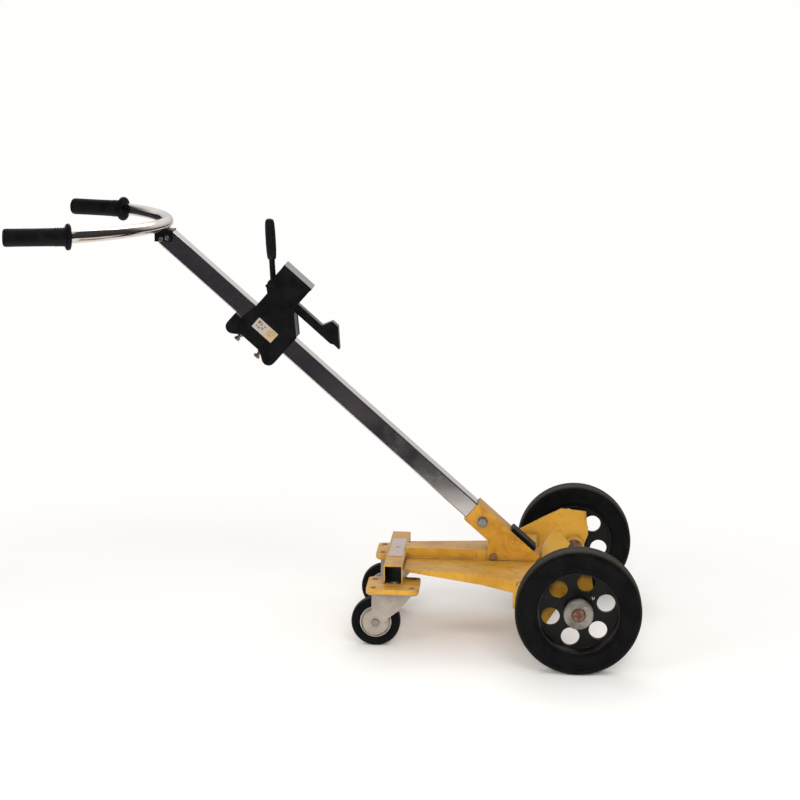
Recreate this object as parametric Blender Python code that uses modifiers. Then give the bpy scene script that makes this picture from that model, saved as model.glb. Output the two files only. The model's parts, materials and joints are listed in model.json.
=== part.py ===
"""Four-wheel tilting drum dolly: sliding clamp head on a square mast, two main wheels, two casters.

Working frame: +X forward, +Y to the left, +Z up. The floor is z = 0.
Lengths in metres. The mast has its own frame: s runs down the mast, n points to the load side.
"""
import math

import bmesh
import bpy
from mathutils import Matrix, Vector

MM = 0.001

# Clearance between neighbours, and how far cutters reach past what they cut
GAP = 0.3 * MM
THROUGH = 60.0 * MM
WIDE = 300.0 * MM

# Whole object
ORIGIN_X = 500.468 * MM
MAIN_AXLE_HEIGHT = 124.5 * MM

# Main wheels
TYRE_RADIUS = 124.5 * MM
TYRE_BORE = 81.7 * MM
TYRE_HALF_WIDTH = 30.0 * MM
WHEEL_TRACK_HALF = 320.0 * MM
RIM_RADIUS = 81.0 * MM
RIM_INNER = 77.0 * MM
RIM_HALF_WIDTH = 27.0 * MM
WEB_INNER_Z = -15.0 * MM
WEB_OUTER_Z = -5.0 * MM
HUB_RADIUS = 26.0 * MM
HUB_BORE = 17.8 * MM
HUB_OUTER_Z = 20.0 * MM
WEB_HOLE_RADIUS = 18.2 * MM
WEB_HOLE_CIRCLE = 56.0 * MM
WEB_HOLE_FIRST_DEG = 15.0
NIPPLE_CIRCLE = 38.0 * MM
AXLE_RADIUS = 12.5 * MM
AXLE_CLEAR = 0.3 * MM
AXLE_OUT = 362.0 * MM
AXLE_IN = 235.0 * MM
COLLAR_RADIUS = 29.0 * MM

# Casters
CASTER_X = -407.0 * MM
CASTER_Y = 150.5 * MM
SWIVEL_X = -373.0 * MM
CASTER_RADIUS = 50.0 * MM
FORK_INNER = 18.0 * MM
FORK_THICK = 3.0 * MM
FORK_TOP = 112.8 * MM
CASTER_PLATE_Z = (116.3 * MM, 119.5 * MM)
MOUNT_PLATE_Z = (119.9 * MM, 129.0 * MM)
MOUNT_PLATE_X = -372.0 * MM
MOUNT_PLATE_Y = 158.5 * MM
MOUNT_PLATE_HALF = (53.0 * MM, 58.0 * MM)
CASTER_PLATE_HALF = (50.0 * MM, 52.0 * MM)
SCREW_Y = 160.5 * MM
SCREW_DX = 39.0 * MM
SCREW_DY = 38.0 * MM

# Base frame
CROSS_TUBE = 38.0 * MM
CROSS_TUBE_HALF = 162.0 * MM
CROSS_TUBE_Z = 148.0 * MM
LEG_HALF = 25.0 * MM
LEG_Z = (136.0 * MM, 174.0 * MM)
DECK_Z = (149.5 * MM, 153.5 * MM)
BEAM_X = (-119.0 * MM, -81.0 * MM)
BEAM_Z = (111.2 * MM, 149.2 * MM)

# Mast
MAST_TOP = (-873.1 * MM, 0.0, 799.2 * MM)
MAST_TILT_DEG = 41.0
MAST_HALF_Y = 25.0 * MM
MAST_DEPTH = 38.0 * MM
MAST_WALL = 3.0 * MM
MAST_LENGTH = 960.0 * MM
SOCKET_S = (850.0 * MM, 1019.0 * MM)
SOCKET_HALF_Y = 29.5 * MM
SOCKET_N = (-4.5 * MM, 42.5 * MM)
LEG_BOLT = (-172.7 * MM, 161.6 * MM)
MAST_BOLT = (881.0 * MM, 18.0 * MM)

# Drum axis used by the cradle
DRUM_POINT = (-411.0 * MM, 881.0 * MM)
DRUM_TILT_DEG = 42.9
CRADLE_RADIUS = 292.0 * MM
CRADLE_T = (736.0 * MM, 786.0 * MM)

# Clamp head
SIDE_IN = 31.0 * MM
SIDE_OUT = 37.0 * MM
LEVER_PIVOT = (228.5 * MM, 95.6 * MM)
LEVER_DIR = (-0.706, 0.708)
LEVER_LENGTH = 131.0 * MM
LEVER_RADIUS = 6.0 * MM
GRIP_START = 46.7 * MM
CRANK_LENGTH = 15.0 * MM
CRANK_TURN_DEG = 195.0
JAW_HALF_Y = 14.0 * MM
GIB_S = (251.0 * MM, 305.0 * MM)

# Handle clamp
CLAMP_X = (-880.5 * MM, -843.0 * MM)
CLAMP_Z = (802.0 * MM, 826.0 * MM)
CLAMP_BOLTS = [(-867.0 * MM, 807.5 * MM), (-854.5 * MM, 810.5 * MM)]

# Handle
HANDLE_RADIUS = 12.5 * MM
HANDLE_BORE = 10.5 * MM
HANDLE_Z = 837.5 * MM
HANDLE_APEX_X = -862.0 * MM
HANDLE_LEAD = 170.0 * MM
GRIP_FLANGE = (-998.0 * MM, 319.0 * MM)
GRIP_SPLAY_DEG = 19.4
GRIP_LENGTH = 130.0 * MM

YELLOW = (0.62, 0.33, 0.035)
BLACK_PAINT = (0.012, 0.012, 0.013)
RUBBER = (0.014, 0.014, 0.015)
ZINC = (0.56, 0.52, 0.47)
CHROME = (0.62, 0.60, 0.58)
STEEL = (0.40, 0.39, 0.38)
BRASS = (0.45, 0.30, 0.14)
COPPER = (0.22, 0.11, 0.07)
NYLON = (0.75, 0.73, 0.66)
LABEL = (0.72, 0.66, 0.55)


def clear_scene():
    for obj in list(bpy.data.objects):
        bpy.data.objects.remove(obj, do_unlink=True)


def make_collection(name):
    coll = bpy.data.collections.new(name)
    bpy.context.scene.collection.children.link(coll)
    return coll


clear_scene()
PARTS = make_collection("drum_dolly")
CUTTERS = make_collection("cutters")


def link_mesh(name, mesh, is_cutter):
    obj = bpy.data.objects.new(name, mesh)
    if is_cutter:
        CUTTERS.objects.link(obj)
        obj.hide_render = True
        obj.display_type = "WIRE"
    else:
        PARTS.objects.link(obj)
    return obj


def from_bmesh(name, bm, is_cutter=False):
    mesh = bpy.data.meshes.new(name)
    bm.normal_update()
    bm.to_mesh(mesh)
    bm.free()
    return link_mesh(name, mesh, is_cutter)


def box(name, lo, hi, is_cutter=False):
    bm = bmesh.new()
    bmesh.ops.create_cube(bm, size=1.0)
    size = Vector(hi) - Vector(lo)
    mid = (Vector(hi) + Vector(lo)) / 2
    bmesh.ops.scale(bm, vec=size, verts=bm.verts)
    bmesh.ops.translate(bm, vec=mid, verts=bm.verts)
    return from_bmesh(name, bm, is_cutter)


def rod(name, radius, start, end, segments=24, is_cutter=False):
    start = Vector(start)
    end = Vector(end)
    bm = bmesh.new()
    bmesh.ops.create_cone(bm, cap_ends=True, segments=segments, radius1=radius,
                          radius2=radius, depth=(end - start).length)
    turn = (end - start).to_track_quat("Z", "Y").to_matrix().to_4x4()
    place = Matrix.Translation((start + end) / 2) @ turn
    bmesh.ops.transform(bm, matrix=place, verts=bm.verts)
    return from_bmesh(name, bm, is_cutter)


def cross_hole(name, radius, u, v, segments=12):
    """Cutter for a hole along Y, at u along X and v along Z."""
    return rod(name, radius, (u, -THROUGH, v), (u, THROUGH, v), segments, True)


def curve_to_mesh(name, curve, is_cutter):
    temp = bpy.data.objects.new(name + "_curve", curve)
    PARTS.objects.link(temp)
    graph = bpy.context.evaluated_depsgraph_get()
    mesh = bpy.data.meshes.new_from_object(temp.evaluated_get(graph))
    bpy.data.objects.remove(temp, do_unlink=True)
    bm = bmesh.new()
    bm.from_mesh(mesh)
    bmesh.ops.remove_doubles(bm, verts=bm.verts, dist=0.00001)
    bmesh.ops.recalc_face_normals(bm, faces=bm.faces)
    bm.to_mesh(mesh)
    bm.free()
    mesh.name = name
    return link_mesh(name, mesh, is_cutter)


def flat_curve(name, outline, thickness):
    curve = bpy.data.curves.new(name, "CURVE")
    curve.dimensions = "2D"
    curve.fill_mode = "BOTH"
    curve.extrude = thickness / 2
    spline = curve.splines.new("POLY")
    spline.points.add(len(outline) - 1)
    for point, (u, v) in zip(spline.points, outline):
        point.co = (u, v, 0.0, 1.0)
    spline.use_cyclic_u = True
    return curve


def plate_z(name, outline, z_low, z_high, is_cutter=False):
    """Plate with a plan outline in X and Y."""
    obj = curve_to_mesh(name, flat_curve(name, outline, z_high - z_low), is_cutter)
    obj.data.transform(Matrix.Translation((0.0, 0.0, (z_low + z_high) / 2)))
    return obj


def plate_y(name, outline, y_low, y_high, is_cutter=False):
    """Plate with a side outline in X and Z."""
    obj = curve_to_mesh(name, flat_curve(name, outline, y_high - y_low), is_cutter)
    stand = Matrix.Rotation(math.radians(90.0), 4, "X")
    slide = Matrix.Translation((0.0, (y_low + y_high) / 2, 0.0))
    obj.data.transform(slide @ stand)
    return obj


def lathe(name, profile, segments=32, closed=True):
    """Solid of revolution about local Z from (radius, z) points."""
    mesh = bpy.data.meshes.new(name)
    points = [(r, 0.0, z) for r, z in profile]
    edges = [(i, i + 1) for i in range(len(points) - 1)]
    if closed:
        edges.append((len(points) - 1, 0))
    mesh.from_pydata(points, edges, [])
    obj = link_mesh(name, mesh, False)
    screw = obj.modifiers.new("turn", "SCREW")
    screw.axis = "Z"
    screw.angle = math.radians(360.0)
    screw.steps = segments
    screw.render_steps = segments
    screw.use_merge_vertices = True
    screw.merge_threshold = 0.00001
    screw.use_smooth_shade = True
    return obj


def boolean(obj, other, operation):
    mod = obj.modifiers.new(operation.lower() + "_" + other.name, "BOOLEAN")
    mod.operation = operation
    mod.solver = "EXACT"
    mod.object = other


def cut(obj, *others):
    for other in others:
        boolean(obj, other, "DIFFERENCE")


def join(obj, *others):
    for other in others:
        boolean(obj, other, "UNION")


def finish(obj, color, rough, metal, crease_deg=35.0):
    mat = bpy.data.materials.new(obj.name)
    mat.use_nodes = True
    shader = mat.node_tree.nodes["Principled BSDF"]
    shader.inputs["Base Color"].default_value = (*color, 1.0)
    shader.inputs["Roughness"].default_value = rough
    shader.inputs["Metallic"].default_value = metal
    obj.data.materials.clear()
    obj.data.materials.append(mat)
    if len(obj.data.polygons) > 0:
        obj.data.shade_smooth()
        obj.data.set_sharp_from_angle(angle=math.radians(crease_deg))
    return obj


def empty(name, location, rotation=(0.0, 0.0, 0.0)):
    obj = bpy.data.objects.new(name, None)
    PARTS.objects.link(obj)
    obj.location = location
    obj.rotation_euler = rotation
    return obj


def attach(parent, *objects):
    for obj in objects:
        obj.parent = parent


def scaled(points):
    return [(u * MM, v * MM) for u, v in points]


def arc(center, radius, start_deg, end_deg, steps):
    points = []
    for i in range(steps + 1):
        a = math.radians(start_deg + (end_deg - start_deg) * i / steps)
        points.append((center[0] + radius * math.cos(a), center[1] + radius * math.sin(a)))
    return points


def rounded_rect(center, half_u, half_v, radius, steps=3):
    points = []
    corners = [(1, 1, 0), (-1, 1, 90), (-1, -1, 180), (1, -1, 270)]
    for su, sv, start in corners:
        mid = (center[0] + su * (half_u - radius), center[1] + sv * (half_v - radius))
        points += arc(mid, radius, start, start + 90, steps)
    return points


def side_rotation(side):
    """Turns local +Z outwards: side -1 is the right wheel, +1 the left."""
    return (math.radians(-90.0 * side), 0.0, 0.0)


def side_name(side):
    return "left" if side > 0 else "right"


MAST = empty("mast_axis", MAST_TOP, (0.0, math.radians(MAST_TILT_DEG), 0.0))


def hex_bolt(name, start, direction, grip, shank_radius, head_radius, head, nut=0.0):
    """Bolt with its head before start; the shank runs grip along direction, nut at the far end."""
    start = Vector(start)
    direction = Vector(direction)
    bolt = rod(name, head_radius, start - direction * head, start, 6)
    tail = 2.0 * MM
    reach = grip + nut + (tail if nut > 0.0 else 0.0)
    shank = rod(name + "_shank", shank_radius, start - direction * head / 2,
                start + direction * reach, 12, True)
    join(bolt, shank)
    extra = [shank]
    if nut > 0.0:
        far = rod(name + "_nut", head_radius, start + direction * grip,
                  start + direction * (grip + nut), 6, True)
        join(bolt, far)
        extra.append(far)
    return bolt, extra


# ---------------------------------------------------------------- base frame

def deck_outline():
    right = [(-352, -130), (-195, -155), (-129, -194), (-84, -225)]
    left = [(x, -y) for x, y in reversed(right)]
    return scaled(right + left)


def flange(name, start, end, drop_start, drop_end, side):
    """Tapered upright strip along one edge of the deck."""
    run = Vector((end[0] - start[0], end[1] - start[1]))
    top = DECK_Z[0] + 2.0 * MM
    low_start = DECK_Z[1] - drop_start
    low_end = DECK_Z[1] - drop_end
    outline = [(0.0, low_start), (run.length, low_end), (run.length, top), (0.0, top)]
    strip = plate_y(name, outline, -2.0 * MM, 2.0 * MM, True)
    turn = Matrix.Rotation(math.atan2(run.y, run.x), 4, "Z")
    shift = Matrix.Translation((start[0], start[1] - side * 1.5 * MM, 0.0))
    strip.data.transform(shift @ turn)
    return strip


def build_base_frame():
    half = CROSS_TUBE / 2
    frame = box("base_frame", (SWIVEL_X - half, -CROSS_TUBE_HALF, CROSS_TUBE_Z - half),
                (SWIVEL_X + half, CROSS_TUBE_HALF, CROSS_TUBE_Z + half))
    for side in (-1, 1):
        outline = rounded_rect((MOUNT_PLATE_X, side * MOUNT_PLATE_Y), *MOUNT_PLATE_HALF, 12 * MM)
        lift = 0.4 * MM
        plate = plate_z("mount_plate_" + side_name(side), outline, MOUNT_PLATE_Z[0],
                        MOUNT_PLATE_Z[1] + lift, True)
        join(frame, plate)
    leg = box("leg_tube", (SWIVEL_X + half - 1.5 * MM, -LEG_HALF, LEG_Z[0]),
              (-122 * MM, LEG_HALF, LEG_Z[1]), True)
    mitre = box("leg_mitre", (800 * MM, -60 * MM, -5 * MM), (1150 * MM, 60 * MM, 120 * MM), True)
    attach(MAST, mitre)
    cut(leg, mitre)
    join(frame, leg)
    join(frame, plate_z("deck_plate", deck_outline(), DECK_Z[0], DECK_Z[1], True))
    for side in (-1, 1):
        tag = side_name(side)
        y = [side * v * MM for v in (131.0, 155.0, 199.0)]
        first = flange("flange_rear_" + tag, (-346 * MM, y[0]), (-194 * MM, y[1]),
                       6.0 * MM, 23.0 * MM, side)
        second = flange("flange_front_" + tag, (-196 * MM, y[1] - side * 0.6 * MM),
                        (-121 * MM, y[2]), 22.6 * MM, 28.5 * MM, side)
        join(frame, first, second)
    hollow = box("cross_hollow", (SWIVEL_X - 16.5 * MM, -WIDE, CROSS_TUBE_Z - 16.5 * MM),
                 (SWIVEL_X + 16.5 * MM, WIDE, CROSS_TUBE_Z + 16.5 * MM), True)
    inner = box("leg_hollow", (-350 * MM, -22 * MM, LEG_Z[0] + 3 * MM),
                (-110 * MM, 22 * MM, LEG_Z[1] - 3 * MM), True)
    cut(frame, hollow, inner, cross_hole("leg_bolt_hole", 5.4 * MM, *LEG_BOLT))
    for side in (-1, 1):
        cut(frame, *screw_holes("mount_" + side_name(side), side, MOUNT_PLATE_Z))
    return finish(frame, YELLOW, 0.45, 0.0)


def screw_places(side):
    places = []
    for dx in (-SCREW_DX, SCREW_DX):
        for dy in (-SCREW_DY, SCREW_DY):
            places.append((MOUNT_PLATE_X + dx, side * SCREW_Y + dy))
    return places


def screw_holes(tag, side, plate_z):
    holes = []
    low = plate_z[0] - 4 * MM
    high = plate_z[1] + 4 * MM
    for i, (x, y) in enumerate(screw_places(side)):
        holes.append(rod(f"{tag}_hole_{i + 1}", 4.1 * MM, (x, y, low), (x, y, high), 8, True))
    return holes


def cradle_place():
    """Matrix that stands a plan outline across the drum axis."""
    tilt = math.radians(DRUM_TILT_DEG)
    along = Vector((math.cos(tilt), 0.0, -math.sin(tilt)))
    side = Vector((0.0, 1.0, 0.0))
    down = along.cross(side) * -1.0
    mid = (CRADLE_T[0] + CRADLE_T[1]) / 2
    point = Vector((DRUM_POINT[0], 0.0, DRUM_POINT[1])) + along * mid
    turn = Matrix((down, side, down.cross(side))).transposed().to_4x4()
    return Matrix.Translation(point) @ turn


def build_axle_carrier():
    carrier = box("axle_carrier", (BEAM_X[0], -264 * MM, BEAM_Z[0]), (BEAM_X[1], 264 * MM, BEAM_Z[1]))
    cut(carrier, box("beam_hollow", (BEAM_X[0] + 3 * MM, -259 * MM, BEAM_Z[0] - 5 * MM),
                     (BEAM_X[1] - 3 * MM, 259 * MM, BEAM_Z[1] - 3 * MM), True))
    outline = scaled([(-129, 113), (-62, 84), (-43, 113), (-12, 104), (18, 118), (30, 150),
                      (24, 200), (-30, 205), (-70, 185), (-129, 152)])
    for side in (-1, 1):
        tag = side_name(side)
        inner, outer = sorted((side * 262 * MM, side * 270 * MM))
        cheek = plate_y("wheel_plate_" + tag, outline, inner, outer, True)
        boss = rod("axle_boss_" + tag, 22 * MM, (0, side * 246 * MM, MAIN_AXLE_HEIGHT),
                   (0, side * 289.5 * MM, MAIN_AXLE_HEIGHT), 24, True)
        bore = rod("axle_bore_" + tag, AXLE_RADIUS + AXLE_CLEAR, (0, side * 200 * MM, MAIN_AXLE_HEIGHT),
                   (0, side * WIDE, MAIN_AXLE_HEIGHT), 20, True)
        join(carrier, cheek, boss)
        cut(carrier, bore)
    outer = arc((0, 0), CRADLE_RADIUS + 5 * MM, -28, 28, 10)
    inner = arc((0, 0), CRADLE_RADIUS, 28, -28, 10)
    saddle = plate_z("cradle", outer + inner, -25 * MM, 25 * MM, True)
    saddle.data.transform(cradle_place())
    join(carrier, saddle)
    rib = scaled([(-83.4, 116), (-60, 116), (-31.6, 134.6), (-68.2, 168.6), (-83.4, 158)])
    for side in (-1, 1):
        low, high = sorted((side * 60 * MM, side * 66 * MM))
        join(carrier, plate_y("cradle_rib_" + side_name(side), rib, low, high, True))
    return finish(carrier, YELLOW, 0.45, 0.0)


def build_socket():
    socket = box("mast_socket", (SOCKET_S[0], -SOCKET_HALF_Y, SOCKET_N[0]),
                 (SOCKET_S[1], SOCKET_HALF_Y, SOCKET_N[1]))
    attach(MAST, socket)
    ear = scaled([(-185, 154.2), (-136, 154.2), (-138, 158.5), (-185, 199.5)])
    for side in (-1, 1):
        low, high = sorted((side * 25.4 * MM, side * 29.0 * MM))
        join(socket, plate_y("socket_ear_" + side_name(side), ear, low, high, True))
    inner = box("socket_hollow", (800 * MM, -25.5 * MM, -0.5 * MM),
                (1100 * MM, 25.5 * MM, 38.5 * MM), True)
    mast_hole = cross_hole("socket_bolt_hole", 6.4 * MM, *MAST_BOLT)
    attach(MAST, inner, mast_hole)
    floor = box("socket_floor", (-250 * MM, -THROUGH, 50 * MM), (50 * MM, THROUGH, DECK_Z[1] + GAP), True)
    leg_hole = cross_hole("ear_bolt_hole", 5.4 * MM, *LEG_BOLT)
    cut(socket, inner, mast_hole, floor, leg_hole)
    return finish(socket, YELLOW, 0.45, 0.0)


def build_frame_fasteners():
    bolt, extra = hex_bolt("mast_bolt", (MAST_BOLT[0], -32.6 * MM, MAST_BOLT[1]), (0, 1, 0),
                           78 * MM, 6.0 * MM, 10.5 * MM, 7 * MM)
    washer = rod("mast_bolt_washer", 13.5 * MM, (MAST_BOLT[0], -32.8 * MM, MAST_BOLT[1]),
                 (MAST_BOLT[0], -29.8 * MM, MAST_BOLT[1]), 20, True)
    join(bolt, washer)
    attach(MAST, bolt, washer, *extra)
    finish(bolt, STEEL, 0.35, 0.9)
    nut = rod("mast_nut", 10.5 * MM, (MAST_BOLT[0], 29.8 * MM, MAST_BOLT[1]),
              (MAST_BOLT[0], 39.0 * MM, MAST_BOLT[1]), 6)
    bore = cross_hole("mast_nut_bore", 6.3 * MM, *MAST_BOLT)
    attach(MAST, nut, bore)
    cut(nut, bore)
    finish(nut, STEEL, 0.35, 0.9)
    leg, _ = hex_bolt("leg_bolt", (LEG_BOLT[0], -29.3 * MM, LEG_BOLT[1]), (0, 1, 0),
                      58.6 * MM, 4.6 * MM, 7.6 * MM, 5.5 * MM, 6.5 * MM)
    finish(leg, STEEL, 0.45, 0.8)


def build_rest_pad():
    pad = box("rest_pad", (938 * MM, -25 * MM, 42.8 * MM), (1002 * MM, 25 * MM, 50.5 * MM))
    attach(MAST, pad)
    bevel = pad.modifiers.new("edges", "BEVEL")
    bevel.width = 2 * MM
    bevel.segments = 2
    return finish(pad, RUBBER, 0.75, 0.0)


def build_mast():
    mast = box("mast", (0.0, -MAST_HALF_Y, 0.0), (MAST_LENGTH, MAST_HALF_Y, MAST_DEPTH))
    wall = MAST_WALL
    hollow = box("mast_hollow", (-100 * MM, -MAST_HALF_Y + wall, wall),
                 (MAST_LENGTH + 100 * MM, MAST_HALF_Y - wall, MAST_DEPTH - wall), True)
    hole = cross_hole("mast_bolt_hole", 6.4 * MM, *MAST_BOLT)
    attach(MAST, mast, hollow, hole)
    notch = box("mast_notch", (CLAMP_X[0] - THROUGH, -THROUGH, CLAMP_Z[0] - GAP),
                (CLAMP_X[1] + GAP, THROUGH, CLAMP_Z[1] + THROUGH), True)
    bevel = mast.modifiers.new("corners", "BEVEL")
    bevel.width = 2.5 * MM
    bevel.segments = 2
    bevel.limit_method = "WEIGHT"
    weights = mast.data.attributes.new("bevel_weight_edge", "FLOAT", "EDGE")
    for edge in mast.data.edges:
        a, b = (mast.data.vertices[i].co for i in edge.vertices)
        weights.data[edge.index].value = 1.0 if abs(a.x - b.x) > 100 * MM else 0.0
    cut(mast, hollow, hole, notch)
    return finish(mast, CHROME, 0.18, 1.0)


def build_handle_clamp():
    clamp = box("handle_clamp", (CLAMP_X[0], -MAST_HALF_Y, CLAMP_Z[0]),
                (CLAMP_X[1], MAST_HALF_Y, CLAMP_Z[1]))
    cut(clamp, cross_hole("clamp_bore", HANDLE_RADIUS + 0.4 * MM, HANDLE_APEX_X, HANDLE_Z, 32))
    for i, (x, z) in enumerate(CLAMP_BOLTS):
        hole = cross_hole(f"clamp_hole_{i + 1}", 3.3 * MM, x, z)
        out = MAST_HALF_Y + GAP
        bolt, _ = hex_bolt(f"clamp_bolt_{i + 1}", (x, -out, z), (0, 1, 0), 2 * out,
                           3.0 * MM, 5.2 * MM, 4.0 * MM, 4.5 * MM)
        cut(clamp, hole)
        finish(bolt, STEEL, 0.35, 0.9)
    return finish(clamp, BLACK_PAINT, 0.4, 0.2)


def handle_half():
    """Plan points from the middle of the handle to the end inside one grip."""
    splay = math.radians(GRIP_SPLAY_DEG)
    outward = Vector((-math.cos(splay), math.sin(splay)))
    a = Vector((HANDLE_APEX_X, 0.0))
    d = Vector(GRIP_FLANGE)
    b = a + Vector((0.0, HANDLE_LEAD))
    c = d - outward * 20 * MM
    points = [a, a + Vector((0.0, 18 * MM))]
    for i in range(1, 10):
        u = i / 10
        w = 1.0 - u
        points.append(a * w ** 3 + b * 3 * w * w * u + c * 3 * w * u * u + d * u ** 3)
    points.append(d - outward * 2 * MM)
    points.append(d + outward * (GRIP_LENGTH - 8 * MM))
    return points, outward


def pipe(name, radius, points, sides_level, is_cutter=False):
    curve = bpy.data.curves.new(name, "CURVE")
    curve.dimensions = "3D"
    curve.bevel_depth = radius
    curve.bevel_resolution = sides_level
    curve.use_fill_caps = True
    spline = curve.splines.new("POLY")
    spline.points.add(len(points) - 1)
    for point, co in zip(spline.points, points):
        point.co = (*co, 1.0)
    return curve_to_mesh(name, curve, is_cutter)


def build_handlebar():
    half, outward = handle_half()
    far = [(p.x, p.y, HANDLE_Z) for p in half]
    near = [(p.x, -p.y, HANDLE_Z) for p in reversed(half[1:])]
    bar = pipe("handlebar", HANDLE_RADIUS, near + far, 5)
    extra = 20 * MM
    first = (near[0][0] + outward.x * extra, near[0][1] - outward.y * extra, HANDLE_Z)
    last = (far[-1][0] + outward.x * extra, far[-1][1] + outward.y * extra, HANDLE_Z)
    core = pipe("handlebar_hollow", HANDLE_BORE, [first] + near + far + [last], 3, True)
    cut(bar, core)
    finish(bar, CHROME, 0.16, 1.0, 50.0)
    for side in (-1, 1):
        profile = scaled([(0, 130), (14.5, 130), (17.4, 127.5), (18, 124), (18.2, 60), (17.6, 16),
                          (19, 9), (24.5, 8.4), (26, 6.8), (26, 1.6), (24.5, 0), (12.9, 0),
                          (12.9, 124.5), (0, 124.5)])
        grip = lathe("grip_" + side_name(side), profile, 20, False)
        grip.location = (GRIP_FLANGE[0], side * GRIP_FLANGE[1], HANDLE_Z)
        aim = Vector((outward.x, side * outward.y, 0.0))
        grip.rotation_euler = aim.to_track_quat("Z", "Y").to_euler()
        finish(grip, RUBBER, 0.7, 0.0)


# ---------------------------------------------------------------- main wheels

def build_main_wheel(side):
    tag = side_name(side)
    center = (0.0, side * WHEEL_TRACK_HALF, MAIN_AXLE_HEIGHT)
    z = RIM_HALF_WIDTH
    rim_profile = [(RIM_RADIUS, z), (RIM_RADIUS, -z), (RIM_INNER + 1 * MM, -z),
                   (RIM_INNER, WEB_INNER_Z), (HUB_RADIUS + 2 * MM, WEB_INNER_Z), (HUB_RADIUS, -z),
                   (HUB_BORE, -z), (HUB_BORE, HUB_OUTER_Z), (HUB_RADIUS, HUB_OUTER_Z),
                   (HUB_RADIUS + 2 * MM, WEB_OUTER_Z), (RIM_INNER, WEB_OUTER_Z),
                   (RIM_INNER + 1 * MM, z)]
    rim = lathe("wheel_rim_" + tag, rim_profile, 32)
    tyre = lathe("wheel_tyre_" + tag, tyre_profile(), 36)
    parts = [rim, tyre]
    for i in range(6):
        a = math.radians(WEB_HOLE_FIRST_DEG + 60.0 * i)
        x = WEB_HOLE_CIRCLE * math.cos(a)
        y = WEB_HOLE_CIRCLE * math.sin(a)
        hole = rod(f"web_hole_{tag}_{i + 1}", WEB_HOLE_RADIUS, (x, y, -25 * MM), (x, y, 5 * MM), 14, True)
        parts.append(hole)
        cut(rim, hole)
    bearing_profile = [(HUB_BORE - 0.3 * MM, 19 * MM), (HUB_BORE - 0.3 * MM, -26 * MM),
                       (AXLE_RADIUS + AXLE_CLEAR, -26 * MM), (AXLE_RADIUS + AXLE_CLEAR, 19 * MM)]
    bearing = lathe("wheel_bearing_" + tag, bearing_profile, 20)
    parts.append(bearing)
    for obj in parts:
        obj.location = center
        obj.rotation_euler = side_rotation(side)
    nipple_profile = scaled([(0, 7), (1.6, 7), (2.6, 5.6), (2.6, 4.4), (1.8, 3), (4.4, 2.2),
                             (4.4, -4.7), (0, -4.7)])
    nipple = lathe("grease_nipple_" + tag, nipple_profile, 10, False)
    reach = NIPPLE_CIRCLE * math.sqrt(0.5)
    nipple.location = (center[0] + reach, center[1], center[2] + reach)
    nipple.rotation_euler = side_rotation(side)
    finish(rim, BLACK_PAINT, 0.5, 0.1, 30.0)
    finish(tyre, RUBBER, 0.8, 0.0)
    finish(bearing, STEEL, 0.4, 0.8)
    finish(nipple, ZINC, 0.35, 0.9)


def tyre_profile():
    w = TYRE_HALF_WIDTH
    outer = [(116 * MM, w), (121.5 * MM, w - 3 * MM), (TYRE_RADIUS, w - 10 * MM)]
    inner = [(89 * MM, w - 0.5 * MM), (85 * MM, w - 3 * MM), (TYRE_BORE, w - 4 * MM)]
    loop = outer + [(r, -z) for r, z in reversed(outer)]
    loop += [(r, -z) for r, z in inner]
    loop += list(reversed(inner))
    return loop


def build_axle(side):
    tag = side_name(side)
    r = AXLE_RADIUS
    profile = [(0.0, AXLE_OUT), (r - 1.5 * MM, AXLE_OUT), (r, AXLE_OUT - 1.5 * MM),
               (r, AXLE_IN + 6 * MM), (r + 4.5 * MM, AXLE_IN + 6 * MM), (r + 4.5 * MM, AXLE_IN),
               (0.0, AXLE_IN)]
    axle = lathe("stub_axle_" + tag, profile, 20, False)
    collar_profile = [(COLLAR_RADIUS - 1.5 * MM, 359 * MM), (COLLAR_RADIUS, 357.5 * MM),
                      (COLLAR_RADIUS, 341 * MM), (r + AXLE_CLEAR, 341 * MM),
                      (r + AXLE_CLEAR, 359 * MM)]
    collar = lathe("shaft_collar_" + tag, collar_profile, 24)
    for obj in (axle, collar):
        obj.location = (0.0, 0.0, MAIN_AXLE_HEIGHT)
        obj.rotation_euler = side_rotation(side)
    finish(axle, COPPER, 0.5, 0.6)
    finish(collar, ZINC, 0.5, 0.5)


# ---------------------------------------------------------------- casters

def fork_outline():
    """Side outline of a fork leg about the swivel axis."""
    trail = CASTER_X - SWIVEL_X
    center = (trail, CASTER_RADIUS)
    end = arc(center, 26 * MM, 109, 379, 14)
    front = scaled([(13, 75.5), (20, 84.7), (33.7, 101), (38, 106.5)])
    top = [(38 * MM, FORK_TOP), (-42.5 * MM, FORK_TOP)]
    return end + front + top


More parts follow.
